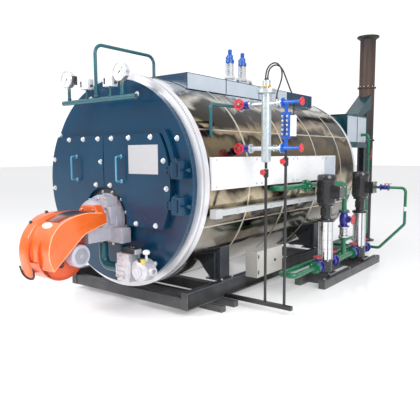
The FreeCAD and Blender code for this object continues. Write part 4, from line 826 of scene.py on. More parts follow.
small_cap = turned([(0, 0), (0.009, 0), (0.009, 0.008), (0.004, 0.011), (0, 0.011)], sides=12)
cover_screws = [spot(x, -0.21, burner_z + z) for x in (-0.015, 0.075) for z in (0.135, 0.22)]
cover_screws += [spot(x, -0.148, burner_z + z) for x in (0.075, 0.238) for z in (-0.205, -0.09)]
fasten("head_screws", small_cap, cover_screws, toward)

def through(points, steps):
    """A smooth line through points: on each span p(t) = (2b + (c-a)t + (2a-5b+4c-d)t^2
    + (3b-a-3c+d)t^3) / 2 between b and c."""
    points = np.asarray(points, float)
    padded_points = np.concatenate([2 * points[:1] - points[1:2], points,
                                    2 * points[-1:] - points[-2:-1]])
    a, b, c, d = (padded_points[k:len(points) - 1 + k, None] for k in range(4))
    t = np.linspace(0, 1, steps, endpoint=False).reshape(1, steps, *[1] * (points.ndim - 1))
    spans = (2 * b + (c - a) * t + (2 * a - 5 * b + 4 * c - d) * t ** 2
             + (3 * b - a - 3 * c + d) * t ** 3) / 2
    return np.concatenate([spans.reshape(-1, *points.shape[1:]), points[-1:]])


# The hood's outline in Y and Z from the head over the crown, down the front and back below. The
# fan lobe on the left stands a little prouder than the flat cover on the right.
cover_line = np.array([(-0.23, 0.084), (-0.35, 0.097), (-0.468, 0.105), (-0.612, 0.088),
                       (-0.741, 0.045), (-0.82, -0.012), (-0.88, -0.105), (-0.905, -0.202),
                       (-0.9, -0.3), (-0.862, -0.396)])
lobe_line = np.array([(-0.23, 0.086), (-0.35, 0.096), (-0.5, 0.103), (-0.66, 0.1),
                      (-0.765, 0.064), (-0.845, -0.008), (-0.91, -0.1), (-0.945, -0.22),
                      (-0.942, -0.315), (-0.925, -0.38)])
under_line = np.array([(-0.855, -0.392), (-0.69, -0.25), (-0.525, -0.111), (-0.46, -0.08),
                       (-0.375, -0.058), (-0.28, -0.028), (-0.23, -0.02)])
hood_middle = np.array([-0.66, -0.06])
hood_left, groove_x, hood_right = -0.33, -0.172, 0.12
tongue_x = [hood_left, -0.3, -0.27, -0.24, -0.21, -0.19, -0.178, groove_x, -0.13, 0.0, hood_right]
tongue_y = [-0.925, -0.918, -0.905, -0.89, -0.875, -0.87, -0.875, -0.89, -0.905, -0.89, -0.862]
tongue_z = [-0.38, -0.448, -0.482, -0.5, -0.503, -0.485, -0.44, -0.37, -0.352, -0.388, -0.396]


def hood_outline(x):
    """Outline at x: lobe + (cover - lobe) s(x), s = 3u^2 - 2u^3 over the groove's width, its
    last point on the tongue's edge, then the underside back to the head."""
    x = np.atleast_1d(x)
    u = np.clip((x - groove_x + 0.014) / 0.02, 0, 1)[None, :, None]
    over = lobe_line[:, None] + (cover_line - lobe_line)[:, None] * (3 * u ** 2 - 2 * u ** 3)
    over[-1, :, 0] = np.interp(x, tongue_x, tongue_y)
    over[-1, :, 1] = np.interp(x, tongue_x, tongue_z)
    under = through(under_line, 3)[:, None] + 0 * over[:1]
    return np.concatenate([through(over, 6), under]).transpose(1, 0, 2)


def hood_shell():
    """The outline carried across X and drawn in towards its middle by k(x): rounded at the left
    shoulder, a groove beside the fan lobe, square at the right-hand cover."""
    across = np.array([-0.33, -0.3285, -0.324, -0.316, -0.304, -0.288, -0.265, -0.24, -0.215,
                       -0.2, -0.19, -0.184, -0.178, groove_x, -0.166, -0.16, -0.15, -0.13, -0.1,
                       -0.06, 0.0, 0.06, 0.1, 0.112, 0.1185, 0.12])
    draw_in = np.array([0.12, 0.085, 0.055, 0.032, 0.014, 0.004, 0.0, 0.0, 0.003,
                        0.008, 0.014, 0.022, 0.027, 0.025, 0.014, 0.004, 0.0, 0.0, 0.0,
                        0.0, 0.0, 0.0, 0.0, 0.002, 0.009, 0.016])
    ring = hood_middle + (hood_outline(across) - hood_middle) * (1 - draw_in[:, None, None])
    grid = np.concatenate([0 * ring[..., :1] + across[:, None, None], ring], -1)
    middle = np.zeros_like(grid[:1])
    closing = [middle + [hood_left, *hood_middle], grid, middle + [hood_right, *hood_middle]]
    points, faces = net(np.concatenate(closing), around=True)
    return points + spot(0, 0, burner_z), faces


orange = painted("burner_orange", (0.84, 0.125, 0.008), (0.9, 0.18, 0.03), 0.24, coat=0.6,
                 wear_and_highlight_level=0.12, bare_and_highlight=(0.95, 0.55, 0.35), patch=2.2, depth=0.06)
hood = piece("burner_hood_shell", hood_shell(), orange, crease=40)
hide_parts("burner_hood")
dress("burner_hood", orange)
pale_orange = clouded("hood_edge", (0.95, 0.62, 0.42), (0.93, 0.42, 0.2), 8, 0.25)
rim = hood_middle + (hood_outline(hood_right)[0, 3:] - hood_middle) * 0.988
rim_line = np.column_stack([0 * rim[:, 0] + 0.119, rim]) + spot(0, 0, burner_z)
piece("hood_rim", swept(rim_line, 0.0045, 10), pale_orange)

# The smoked window, the bare badge and the black strip under the fan lobe.


def hood_top(y):
    """Height of the hood's crown at a distance in front of the plate."""
    line = through(cover_line, 6)[:40]
    return burner_z + np.interp(y, line[::-1, 0], line[::-1, 1])


def crown_panel(y_from, y_to, left, right, lift, wall=0.01):
    """A thin sheet that follows the crown: z = top(y) + lift, between two sides."""
    y = np.linspace(y_from, y_to, 24)
    top = hood_top(y) + lift
    low = top - wall
    corners = [(left, y, low), (left, y, top - 0.003), (left + 0.004, y, top),
               (right - 0.004, y, top), (right, y, top - 0.003), (right, y, low)]
    grid = np.stack([np.stack([0 * y + x, at_y, at_z], -1) for x, at_y, at_z in corners], 1)
    grid = np.concatenate([grid[:1].mean(1, keepdims=True) + 0 * grid[:1], grid,
                           grid[-1:].mean(1, keepdims=True) + 0 * grid[-1:]])
    points, faces = net(grid, around=True)
    return points + spot(0, 0, 0), faces


smoked = clouded("smoked_window", (0.25, 0.01, 0.012), (0.12, 0.008, 0.01), 4, 0.08, coat=0.8)
piece("hood_black_panel", crown_panel(-0.335, -0.655, -0.145, 0.07, 0.004), black_enamel)
piece("hood_window", crown_panel(-0.645, -0.755, -0.14, 0.062, 0.009), smoked)
cream = clouded("bare_badge", (0.9, 0.86, 0.72), (0.85, 0.78, 0.62), 20, 0.25)
badge_y = -0.8
lean = turn_to(np.array([0, -0.62, 0.78]))
angle = np.linspace(0, 2 * np.pi, 40, endpoint=False)[None, :]
reach = np.array([0, 0.9, 1.0, 1.06, 1.06, 0])[:, None]
rise = np.array([0.008, 0.008, 0.006, 0.0, -0.02, -0.02])[:, None]
oval = (reach * np.cos(angle) * 0.068)[..., None] * np.array([1.0, 0, 0]) \
    + (reach * np.sin(angle) * 0.034)[..., None] * np.array([0, 0.78, 0.62]) \
    + (rise + 0 * angle)[..., None] * lean[:, 2]
oval += spot(-0.045, badge_y, 0) + [0, 0, float(hood_top(badge_y)) + 0.004]
piece("hood_badge", net(oval, around=True), cream)
tongue = through(np.column_stack([tongue_x, tongue_y, tongue_z])[:8] + [0, -0.002, -0.003], 6)
piece("hood_seal", swept(tongue + spot(0, 0, burner_z), 0.0085, 10), rubber)
scroll_paint = painted("scroll_orange", (0.82, 0.11, 0.01), (0.75, 0.09, 0.015), 0.3, coat=0.5,
                       wear_and_highlight_level=0.2, bare_and_highlight=(0.9, 0.45, 0.3), patch=3)
dress("fan_scroll", scroll_paint)
scroll_low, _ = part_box("fan_scroll")
scroll_radius = 0.27
scroll_at = (-0.66, scroll_low.z + scroll_radius)
ribs = [turned([(scroll_radius - 0.03, -0.004), (scroll_radius - 0.002, -0.004),
                (scroll_radius + 0.003, 0), (scroll_radius - 0.002, 0.004),
                (scroll_radius - 0.03, 0.004)], spot(x, *scroll_at), aside, sides=80)
        for x in (-0.326, -0.175, -0.024)]
piece("scroll_ribs", ribs, scroll_paint, bevel=0.001)
bracket = prism([spot(x, y, burner_z + z) for y in (-0.335, -0.232) for x, z in
                 ((-0.19, 0.08), (-0.15, 0.155), (0.055, 0.165), (0.1, 0.08))])
piece("hood_bracket", bracket, orange, bevel=0.012, steps=3)
hood_studs = [spot(x, -0.336, burner_z + z) for x, z in ((-0.13, 0.115), (0.04, 0.115))]
fasten("bracket_screws", small_cap, hood_studs, toward)
catches = [spot(-0.285, y, burner_z + float(np.interp(-y, -lobe_line[:, 0], lobe_line[:, 1])))
           for y in (-0.64, -0.815)]
latch = turned([(0, -0.01), (0.016, -0.01), (0.018, 0.006), (0.012, 0.018), (0.005, 0.021),
                (0, 0.021)], sides=18)
fasten("hood_latches", latch, catches, (0, -0.4, 0.9), finish=black_enamel)

motor_grey = painted("motor_grey", (0.62, 0.63, 0.72), (0.48, 0.49, 0.58), 0.38, wear_and_highlight_level=0.25,
                     bare_and_highlight=(0.8, 0.8, 0.85), patch=7)
dress("burner_motor", motor_grey)
motor_face = spot(0.11, -0.545, burner_z - 0.302)
guard, tree, shader = material("motor_guard")
place = object_place(tree)
tilted = node(tree, "ShaderNodeMapping", {"Vector": place, "Rotation": (math.radians(38), 0, 0),
                                          "Scale": (1.0, 96.0, 96.0)}).outputs["Vector"]
cells = node(tree, "ShaderNodeSeparateXYZ", {"Vector": tilted})
bars = [node(tree, "ShaderNodeMath", {0: cells.outputs[axis], 1: 1.0}, operation="PINGPONG")
        .outputs[0] for axis in ("Y", "Z")]
bars = [node(tree, "ShaderNodeMapRange", {"Value": bar, "From Min": low, "From Max": low + 0.1})
        .outputs["Result"] for bar, low in zip(bars, (0.24, 0.3))]
# The grille's holes are painted shade: near-black between the bars.
painted_hole_shade_mask = node(tree, "ShaderNodeMath", {0: bars[0], 1: bars[1]}, operation="MULTIPLY").outputs[0]
tree.links.new(tint(tree, painted_hole_shade_mask, (0.6, 0.61, 0.7), (0.015, 0.015, 0.02)),
               shader.inputs["Base Color"])
shader.inputs["Roughness"].default_value = 0.45
piece("motor_grille", turned([(0, 0.0035), (0.06, 0.0035), (0.078, 0.0), (0.078, -0.002),
                              (0, -0.002)], motor_face, aside, sides=48), guard)
guard_rim = turned([(0.078, -0.001), (0.092, -0.001), (0.0985, -0.004), (0.0985, -0.0145),
                    (0.078, -0.01)], motor_face + [0.003, 0, 0], aside, sides=64)
guard_boss = turned([(0, 0.008), (0.018, 0.008), (0.02, 0.005), (0.02, 0.003), (0, 0.003)],
                    motor_face, aside, sides=24)
piece("motor_trim", [guard_rim, guard_boss], motor_grey, bevel=0.001)
damper_red = clouded("damper_red", (0.55, 0.02, 0.04), (0.3, 0.01, 0.03), 30, 0.35)
damper = spot(-0.02, -0.7, burner_z - 0.37)
piece("damper_knob", turned([(0, 0), (0.03, 0), (0.034, 0.01), (0.034, 0.028), (0.029, 0.034),
                             (0.017, 0.03), (0, 0.03)], damper, aside, sides=32), black_enamel)
piece("damper_mark", slab(damper + [0.029, -0.016, -0.004], damper + [0.036, 0.016, 0.004]),
      damper_red, bevel=0.002)
piece("motor_collar", block((-0.02, -0.6, burner_z - 0.205), (0.075, -0.49, burner_z - 0.188)),
      damper_red, bevel=0.004)

# --- Gas train -------------------------------------------------------------------------------
# The gas pipe comes down from the head and turns into a cast aluminium valve block with a coil
# on top, and a round finned regulator at its inlet. Everything is screwed together.

pipe_blue = painted("pipe_teal", (0.01, 0.13, 0.16), (0.004, 0.06, 0.085), 0.3, coat=0.3,
                    wear_and_highlight_level=0.35, bare_and_highlight=(0.3, 0.45, 0.48))
for name in ("gas_pipe", "gauge_header", "steam_feed_pipe", "column_branches"):
    dress(name, pipe_blue)
aluminium = clouded("cast_aluminium", (0.8, 0.8, 0.83), (0.6, 0.6, 0.64), 14, (0.3, 0.5),
                    gloss_scale=20, metal=0.55, grain_scale=160)
dress("gas_valve_train", aluminium)
line_z = burner_z - 0.474
gas_flange = [block((0.232, -0.232, line_z - 0.07), (0.25, -0.068, line_z + 0.07)),
              block((0.41, -0.225, line_z - 0.06), (0.43, -0.075, line_z + 0.095))]
block_steps = [block((0.26, -0.231, line_z + low), (0.35, -0.22, line_z + high))
               for low, high in ((-0.09, -0.055), (-0.04, -0.005), (0.01, 0.045), (0.07, 0.15))]
block_steps += [block((0.365, -0.229, line_z - 0.085), (0.4, -0.2, line_z + 0.155))]
fluting = []
regulator = spot(0.535, -0.15, line_z + 0.0225)
for turn in np.radians(np.arange(0, 360, 15)):
    radial = np.array([math.cos(turn), 0, math.sin(turn)])
    fluting.append(swept(regulator + radial * 0.101 + np.outer([0.07, 0.02, -0.05, -0.062],
                                                              [0, 1.0, 0]), 0.0075, 8))
cap_rings = [turned([(0.02, 0), (0.06, 0), (0.066, 0.006), (0.06, 0.012), (0.02, 0.016)],
                    regulator + [0, -0.084, 0], toward, sides=32),
             turned([(0, 0), (0.034, 0), (0.034, 0.02), (0.026, 0.027), (0, 0.028)],
                    regulator + [0, -0.084, 0], toward, sides=24)]
piece("gas_train_details", gas_flange + block_steps + fluting + cap_rings, aluminium,
      bevel=0.003)
block_screws = [spot(x, -0.231, line_z + z) for x in (0.27, 0.34) for z in (-0.072, 0.11)]
block_screws += [spot(0.242, -0.23, line_z + z) for z in (-0.052, 0.052)]
fasten("gas_train_screws", small_cap, block_screws, toward)
coil_box = block((0.281, -0.194, line_z + 0.171), (0.462, -0.106, line_z + 0.222))
coil_cap = turned([(0, 0), (0.03, 0), (0.033, 0.008), (0.033, 0.022), (0.026, 0.03), (0, 0.031)],
                  spot(0.4, -0.15, line_z + 0.213), sides=24)
piece("gas_coil_cover", [coil_box, coil_cap], black_enamel, bevel=0.005)
ivory = clouded("ivory_plastic", (0.88, 0.88, 0.9), (0.74, 0.75, 0.78), 18, 0.35)
piece("gas_train_caps", [
    turned([(0, 0), (0.022, 0), (0.022, 0.03), (0.014, 0.042), (0, 0.043)],
           spot(0.272, -0.15, line_z + 0.17), sides=20),
    turned([(0, 0), (0.012, 0), (0.012, 0.055), (0.03, 0.06), (0.036, 0.075), (0.034, 0.09),
            (0.02, 0.1), (0, 0.102)], spot(0.56, -0.13, line_z + 0.118), sides=28)], ivory)
yellow = clouded("connector_yellow", (0.75, 0.62, 0.12), (0.6, 0.5, 0.1), 30, 0.4)
piece("regulator_plug", block((0.575, -0.225, line_z + 0.1), (0.615, -0.195, line_z + 0.145)),
      yellow, bevel=0.004)
piece("regulator_plug_base", block((0.53, -0.22, line_z + 0.095), (0.58, -0.17, line_z + 0.15)),
      black_enamel, bevel=0.004)

# --- Gauge header ----------------------------------------------------------------------------
# A length of pipe over the front plate, fed with steam by the tall bent pipe. Two dial gauges
# and two pressure switches stand on it, each screwed on through a short nipple.

header_y, header_z = -0.2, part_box("gauge_header")[0].z + 0.024
header_end = spot(0.54, header_y, header_z)
gauge_places, switch_places = (-0.45, 0.355), (-0.165, 0.19)
open_end = turned([(0.015, 0.001), (0.0245, 0.001), (0.0245, -0.02), (0.015, -0.02)], header_end,
                  aside, sides=32)
nipples = [disc(0.019, 0, 0.012, spot(x, header_y, header_z + 0.026), sides=6)
           for x in switch_places]
nipples += [disc(0.0215, 0, 0.016, spot(x, header_y, header_z + 0.03), sides=6)
            for x in gauge_places]
nipples += [turned([(0, 0), (0.024, 0), (0.024, 0.014), (0.019, 0.018), (0, 0.018)],
                   spot(-0.02, header_y, header_z + 0.03))]
piece("header_nipples", [open_end] + nipples, pipe_blue)
# The open end's bore is painted shade: a near-black disc inside the pipe end.
piece("header_bore", disc(0.0155, 0, 0.002, header_end, aside), painted_hole_shade)
brass = clouded("brass", (0.86, 0.6, 0.24), (0.6, 0.42, 0.2), 30, (0.2, 0.4), gloss_scale=50,
                metal=1.0)
chrome = clouded("gauge_case", (0.9, 0.9, 0.91), (0.7, 0.71, 0.73), 20, (0.12, 0.28),
                 gloss_scale=30, metal=0.85)
dress("pressure_gauges", chrome)
dial_white = clouded("dial_white", (0.95, 0.95, 0.95), (0.88, 0.88, 0.9), 12, 0.3)
ink = clouded("dial_ink", (0.01, 0.01, 0.012), (0.04, 0.04, 0.045), 60, 0.5)
gauge_z = header_z + 0.235
dial_y = -0.2275


def flat_number(text, centre, height, name):
    """A dial number as a thin mesh facing the front."""
    words = bpy.data.curves.new(name, "FONT")
    words.body = text
    words.size = height
    words.extrude = 0.0004
    words.align_x, words.align_y = "CENTER", "CENTER"
    loose = bpy.data.objects.new(name + "_text", words)
    bpy.context.scene.collection.objects.link(loose)
    bpy.context.view_layer.update()
    mesh = bpy.data.meshes.new_from_object(loose)
    bpy.data.objects.remove(loose)
    places = np.empty(len(mesh.vertices) * 3)
    mesh.vertices.foreach_get("co", places)
    places = places.reshape(-1, 3)[:, [0, 2, 1]] * [1, -1, 1] + centre
    mesh.vertices.foreach_set("co", places.ravel())
    mesh.materials.append(ink)
    made = bpy.data.objects.new(name, mesh)
    bpy.context.scene.collection.objects.link(made)
    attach(made, "boiler")


for side, x, pointer in (("left", gauge_places[0], 215), ("right", gauge_places[1], 48)):
    middle = spot(x, dial_y, gauge_z)
    piece(f"{side}_bezel", turned([(0.074, 0.0), (0.074, 0.007), (0.079, 0.009), (0.086, 0.007),
                                   (0.0885, 0.0), (0.0885, -0.006), (0.074, -0.006)], middle,
                                  toward, sides=64), chrome)
    piece(f"{side}_dial", disc(0.075, 0.0022, -0.001, middle, toward, sides=48), dial_white)
    turn = np.radians(np.linspace(-135, 135, 31))
    long_mark = np.arange(31) % 5 == 0
    marks = []
    for lean_to, big in zip(turn, long_mark):
        out = np.array([math.sin(lean_to), 0, math.cos(lean_to)])
        across = np.array([math.cos(lean_to), 0, -math.sin(lean_to)]) * (0.0012 if big else 0.0006)
        inner, outer = middle + out * (0.055 if big else 0.061), middle + out * 0.067
        marks.append(prism([point + [0, depth, 0] for depth in (-0.0018, -0.003) for point in
                            (inner - across, inner + across, outer + across, outer - across)]))
    out = np.array([math.sin(math.radians(pointer)), 0, math.cos(math.radians(pointer))])
    across = np.array([out[2], 0, -out[0]])
    marks.append(prism([middle + out * far + across * wide + [0, depth, 0]
                        for depth in (-0.0035, -0.005)
                        for far, wide in ((-0.022, -0.004), (-0.022, 0.004), (0.06, 0.0007),
                                          (0.06, -0.0007))]))
    marks.append(turned([(0, 0.007), (0.006, 0.007), (0.007, 0.005), (0.007, 0.002),
                         (0, 0.002)], middle, toward, sides=20))
    piece(f"{side}_dial_marks", marks, ink)
    for k, label in enumerate(("0", "5", "10", "15", "20", "25", "30")):
        spread = math.radians(-135 + 45 * k)
        flat_number(label, middle + [0.045 * math.sin(spread), -0.003,
                                     0.045 * math.cos(spread)], 0.014, f"{side}_number_{k}")
    gauge_nut = turned([(0, 0), (0.0175, 0), (0.0175, 0.022), (0.012, 0.026), (0, 0.026)],
                       spot(x, header_y, gauge_z - 0.118), sides=6)
    gauge_stem = disc(0.013, 0, 0.014, spot(x, header_y, gauge_z - 0.132), sides=24)
    piece(f"{side}_gauge_nut", [gauge_nut, gauge_stem], brass)
piece("gauge_contact_box", [block((-0.366, -0.225, gauge_z - 0.042),
                                  (-0.335, -0.18, gauge_z + 0.03)),
                            block((-0.35, -0.215, gauge_z - 0.06),
                                  (-0.322, -0.19, gauge_z - 0.02))], black_enamel,
      bevel=0.004)
dress("pressure_switches", ivory)
switch_z = header_z + 0.115
covers, windows = [], []
for x in switch_places:
    covers.append(block((x - 0.062, -0.2405, switch_z + 0.004),
                        (x + 0.062, -0.2355, switch_z + 0.09)))
    covers.append(block((x - 0.066, -0.237, switch_z + 0.088),
                        (x + 0.066, -0.163, switch_z + 0.096)))
    windows.append(block((x - 0.048, -0.2425, switch_z + 0.02),
                         (x - 0.026, -0.24, switch_z + 0.078)))
    windows.append(disc(0.012, 0, 0.02, spot(x + 0.065, header_y, switch_z + 0.03), aside,
                        sides=16))
piece("switch_covers", covers, ivory, bevel=0.003)
piece("switch_windows", windows, black_enamel, bevel=0.001)

# --- Walkway and safety valves ---------------------------------------------------------------
# A folded sheet housing runs along the top of the shell; its sides are pale grey-blue sheets.
# Two spring safety valves stand through it: cast bodies, open yokes and blue bonnets.

panel_grey = painted("panel_grey_blue", (0.56, 0.61, 0.67), (0.45, 0.52, 0.6), 0.34, wear_and_highlight_level=0.25,
                     bare_and_highlight=(0.7, 0.74, 0.78), patch=1.5)
deck_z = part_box("top_walkway")[1].z
sides, trims = [], []
for x in (-0.543, 0.543):
    low, high = sorted((x, x + math.copysign(0.003, x)))
    sides.append(block((low, 0.522, 2.252), (high, 2.62, deck_z - 0.004)))
    low, high = sorted((x - math.copysign(0.02, x), x + math.copysign(0.005, x)))
    trims.append(block((low, 0.512, deck_z - 0.002), (high, 3.38, deck_z + 0.002)))
    low, high = sorted((x, x + math.copysign(0.005, x)))
    trims += [block((low, y, 2.256), (high, y + 0.014, deck_z))
              for y in (0.512, 1.2, 1.9, 2.62, 3.3)]
piece("walkway_sides", sides, panel_grey, bevel=0.001)
piece("walkway_edges", trims, boiler_teal, bevel=0.001)
chequer, tree, shader = material("chequer_plate")
place = object_place(tree)
cross = [node(tree, "ShaderNodeTexBrick", {"Vector": node(
    tree, "ShaderNodeMapping", {"Vector": place, "Rotation": (0, 0, math.radians(turn))})
    .outputs["Vector"], "Scale": 18.0, "Mortar Size": 0.16, "Mortar Smooth": 0.6,
    "Brick Width": 0.9, "Row Height": 0.5}).outputs["Fac"] for turn in (45, -45)]
studs = node(tree, "ShaderNodeMath", {0: cross[0], 1: cross[1]}, operation="MINIMUM").outputs[0]
tree.links.new(tint(tree, studs, petrol, (0.02, 0.12, 0.17)), shader.inputs["Base Color"])
tree.links.new(node(tree, "ShaderNodeBump", {"Height": studs, "Strength": 0.6,
                                             "Distance": 0.004}).outputs["Normal"],
               shader.inputs["Normal"])
tree.links.new(use(tree, clouds, {"Scale": 8.0, "Low": 0.3, "High": 0.5}),
               shader.inputs["Roughness"])
piece("walkway_tread", block((-0.52, 0.525, deck_z - 0.001), (0.52, 3.37, deck_z + 0.003)),
      chequer)

valve_silver = painted("valve_silver", (0.78, 0.79, 0.8), (0.6, 0.61, 0.63), 0.33, wear_and_highlight_level=0.4,
                       bare_and_highlight=(0.45, 0.45, 0.45), patch=9)
cap_blue = painted("cap_blue", (0.005, 0.13, 0.62), (0.003, 0.08, 0.42), 0.28, coat=0.4,
                   wear_and_highlight_level=0.3, bare_and_highlight=(0.3, 0.5, 0.8), patch=8)
dress("safety_valves", valve_silver)
valve_places = (2.05, 2.345)
bodies, caps, springs, ports = [], [], [], []
for y in valve_places:
    foot = spot(0, y, deck_z)
    bodies += [turned([(0, 0), (0.076, 0), (0.076, 0.024), (0.046, 0.032), (0.05, 0.045),
                       (0.062, 0.07), (0.062, 0.13), (0.048, 0.152), (0.071, 0.156),
                       (0.071, 0.182), (0.05, 0.186), (0.05, 0.196), (0, 0.196)], foot,
                      sides=48), turned([(0, 0), (0.039, 0), (0.039, 0.105), (0.063, 0.108),
                                         (0.063, 0.132), (0.034, 0.133), (0.034, 0.085),
                                         (0, 0.085)], foot + [0, 0, 0.1], aside, sides=40)]
    for stand in circle(foot, 0.041, 4, start=45):
        bodies.append(slab(stand + [-0.009, -0.009, 0.19], stand + [0.009, 0.009, 0.365]))
    climb = np.linspace(0, 1, 160)
    coil = np.stack([0.027 * np.cos(climb * 14 * np.pi), 0.027 * np.sin(climb * 14 * np.pi),
                     0.195 + 0.17 * climb], -1) + foot
    springs.append(swept(coil, 0.0045, 8))
    springs.append(disc(0.009, 0.19, 0.37, foot, sides=16))
    caps += [turned([(0, 0.362), (0.052, 0.362), (0.057, 0.368), (0.057, 0.398), (0.046, 0.412),
                     (0.042, 0.43), (0.042, 0.462), (0.03, 0.47), (0, 0.47)], foot, sides=40),
             turned([(0, 0.47), (0.027, 0.47), (0.027, 0.533), (0.018, 0.54), (0, 0.54)], foot,
                    sides=6),
             slab(foot + [-0.062, -0.012, 0.22], foot + [-0.05, 0.012, 0.45]),
             slab(foot + [-0.062, -0.012, 0.435], foot + [0.0, 0.012, 0.452])]
    ports.append(disc(0.0335, 0.0, 0.003, foot + [0.086, 0, 0.1], aside, sides=32))
stand_in = piece("safety_valve_bodies", bodies, valve_silver, bevel=0.002)
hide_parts("safety_valves")
piece("safety_valve_bonnets", caps, cap_blue, bevel=0.002)
piece("safety_valve_springs", springs, plated)
# Each side outlet's opening is painted shade: a near-black disc on its face.
piece("safety_valve_ports", ports, painted_hole_shade)
flange_bolts = []
for y in valve_places:
    flange_bolts += circle(spot(0, y, deck_z + 0.024), 0.06, 4, start=45)
    flange_bolts += circle(spot(0, y, deck_z + 0.182), 0.058, 4, start=45)
small_bolt = joined([disc(0.011, 0, 0.002, sides=16), turned([(0, 0.002), (0.0085, 0.002),
                                                              (0.0085, 0.009), (0, 0.0105)],
                                                             sides=6)])
fasten("safety_valve_bolts", small_bolt, flange_bolts, up)

# --- Level column and its gauge glass --------------------------------------------------------
# A galvanised float column between two flanged valves, with a reflex gauge glass beside it. The
# cap carries the cables, the drains run down to a collector on the floor.

galvanised, tree, shader = material("galvanised")
shader.inputs["Metallic"].default_value = 0.6
place = object_place(tree)
spangle = node(tree, "ShaderNodeTexVoronoi", {"Vector": place, "Scale": 60.0})
tree.links.new(tint(tree, spangle.outputs["Color"], (0.5, 0.58, 0.6), (0.66, 0.72, 0.74)),
               shader.inputs["Base Color"])
tree.links.new(node(tree, "ShaderNodeMapRange", {"Value": spangle.outputs["Distance"],
                                                 "To Min": 0.25, "To Max": 0.42})
               .outputs["Result"], shader.inputs["Roughness"])
dress("level_column", galvanised)
column_x, glass_x, sensor_x, side_y = 1.39, 1.607, 1.6813, 0.7
upper_z, lower_z = 2.05, 1.625
column_bolts = circle(spot(column_x, side_y, 2.186), 0.072, 6, start=30)
fasten("column_bolts", small_bolt, column_bolts, up)
piece("column_rings", [
    turned([(0.04, 0), (0.0895, 0), (0.0895, 0.004), (0.04, 0.004)],
           spot(column_x, side_y, 2.166), sides=48),
    turned([(0.04, -0.004), (0.05, -0.004), (0.0505, 0), (0.05, 0.004), (0.04, 0.004)],
           spot(column_x, side_y, 2.12), sides=40)], galvanised)
piece("column_cap", [
    turned([(0, 2.188), (0.0395, 2.188), (0.0395, 2.225), (0.036, 2.23), (0.036, 2.262),
            (0.032, 2.271), (0, 2.271)], spot(column_x, side_y, 0), sides=40),
    turned([(0.02, 2.19), (0.044, 2.19), (0.044, 2.214), (0.02, 2.214)],
           spot(column_x, side_y, 0), sides=6)], brass, bevel=0.001)
reliefs = [turned([(0.004, -0.004), (0.012, -0.004), (0.012, 0.006), (0.0085, 0.024),
                   (0.007, 0.026), (0.004, 0.026)], spot(x, side_y, z), sides=20)
           for x, z in ((column_x + 0.012, 2.27), (column_x - 0.012, 2.27), (1.502, 2.085),
                        (sensor_x, 1.925))]
piece("cable_reliefs", reliefs, rubber)
violet = painted("valve_blue", (0.03, 0.03, 0.36), (0.02, 0.02, 0.2), 0.3, coat=0.4, wear_and_highlight_level=0.4,
                 bare_and_highlight=(0.35, 0.38, 0.6), patch=9)
glass_blue = painted("gauge_blue", (0.005, 0.12, 0.6), (0.004, 0.07, 0.4), 0.28, coat=0.4,
                     wear_and_highlight_level=0.3, bare_and_highlight=(0.3, 0.5, 0.8), patch=9)
for name in ("column_valves", "feed_valves"):
    dress(name, violet)
dress("gauge_glass", glass_blue)
neck_bolts = sum((circle(spot(x, side_y, z), 0.034, 4, start=45, axis="x")
              for x in (1.102, 1.223, 1.49, 1.556) for z in (upper_z, lower_z)), [])
fasten("column_flange_bolts", small_bolt, neck_bolts, aside)
slot_low, slot_high = lower_z + 0.12, upper_z - 0.12
piece("glass_window", block((glass_x - 0.0085, side_y - 0.0205, slot_low),
                            (glass_x + 0.0085, side_y - 0.012, slot_high)), black_enamel,
      bevel=0.001)
clamps = [block((glass_x + x - 0.011, side_y - 0.0265, slot_low - 0.012),
                (glass_x + x + 0.011, side_y - 0.0195, slot_high + 0.012))
          for x in (-0.025, 0.025)]
piece("glass_clamps", clamps, glass_blue, bevel=0.003)
clamp_bolts = [spot(glass_x + x, side_y - 0.026, z) for x in (-0.025, 0.025)
               for z in np.linspace(slot_low + 0.01, slot_high - 0.01, 5)]
fasten("glass_clamp_bolts", small_bolt, clamp_bolts, toward)
sensor_white = painted("sensor_white", (0.85, 0.86, 0.9), (0.75, 0.76, 0.82), 0.3, coat=0.2,
                       wear_and_highlight_level=0.15, bare_and_highlight=(0.5, 0.5, 0.52), patch=9)
dress("level_sensor", sensor_white)
piece("sensor_ends", [turned([(0.02, z), (0.0312, z), (0.0312, z + 0.012), (0.02, z + 0.012)],
                             spot(sensor_x, side_y, 0), sides=32) for z in (1.74, 1.908)],
      sensor_white, bevel=0.002)
dress("drain_pipes", black_enamel)
drain_places = ((column_x, 1.395), (glass_x, 1.5))
drain_valves = []
for x, z in drain_places:
    drain_valves += [turned([(0, -0.035), (0.022, -0.035), (0.022, -0.022), (0.018, -0.018),
                             (0.021, 0), (0.018, 0.018), (0.022, 0.022), (0.022, 0.035),
                             (0, 0.035)], spot(x, side_y, z), sides=24),
                     turned([(0, 0), (0.011, 0), (0.011, 0.035), (0.006, 0.04), (0.006, 0.055),
                             (0, 0.055)], spot(x, side_y, z), toward, sides=16)]
piece("drain_valves", drain_valves, galvanised)

# --- Handwheels ------------------------------------------------------------------------------
# Pressed red handwheels with a scalloped rim, six round windows and a nut on the spindle.

wheel_red = painted("wheel_red", (0.72, 0.012, 0.03), (0.5, 0.006, 0.02), 0.3, coat=0.4,
                    wear_and_highlight_level=0.35, bare_and_highlight=(0.8, 0.35, 0.35), patch=14)


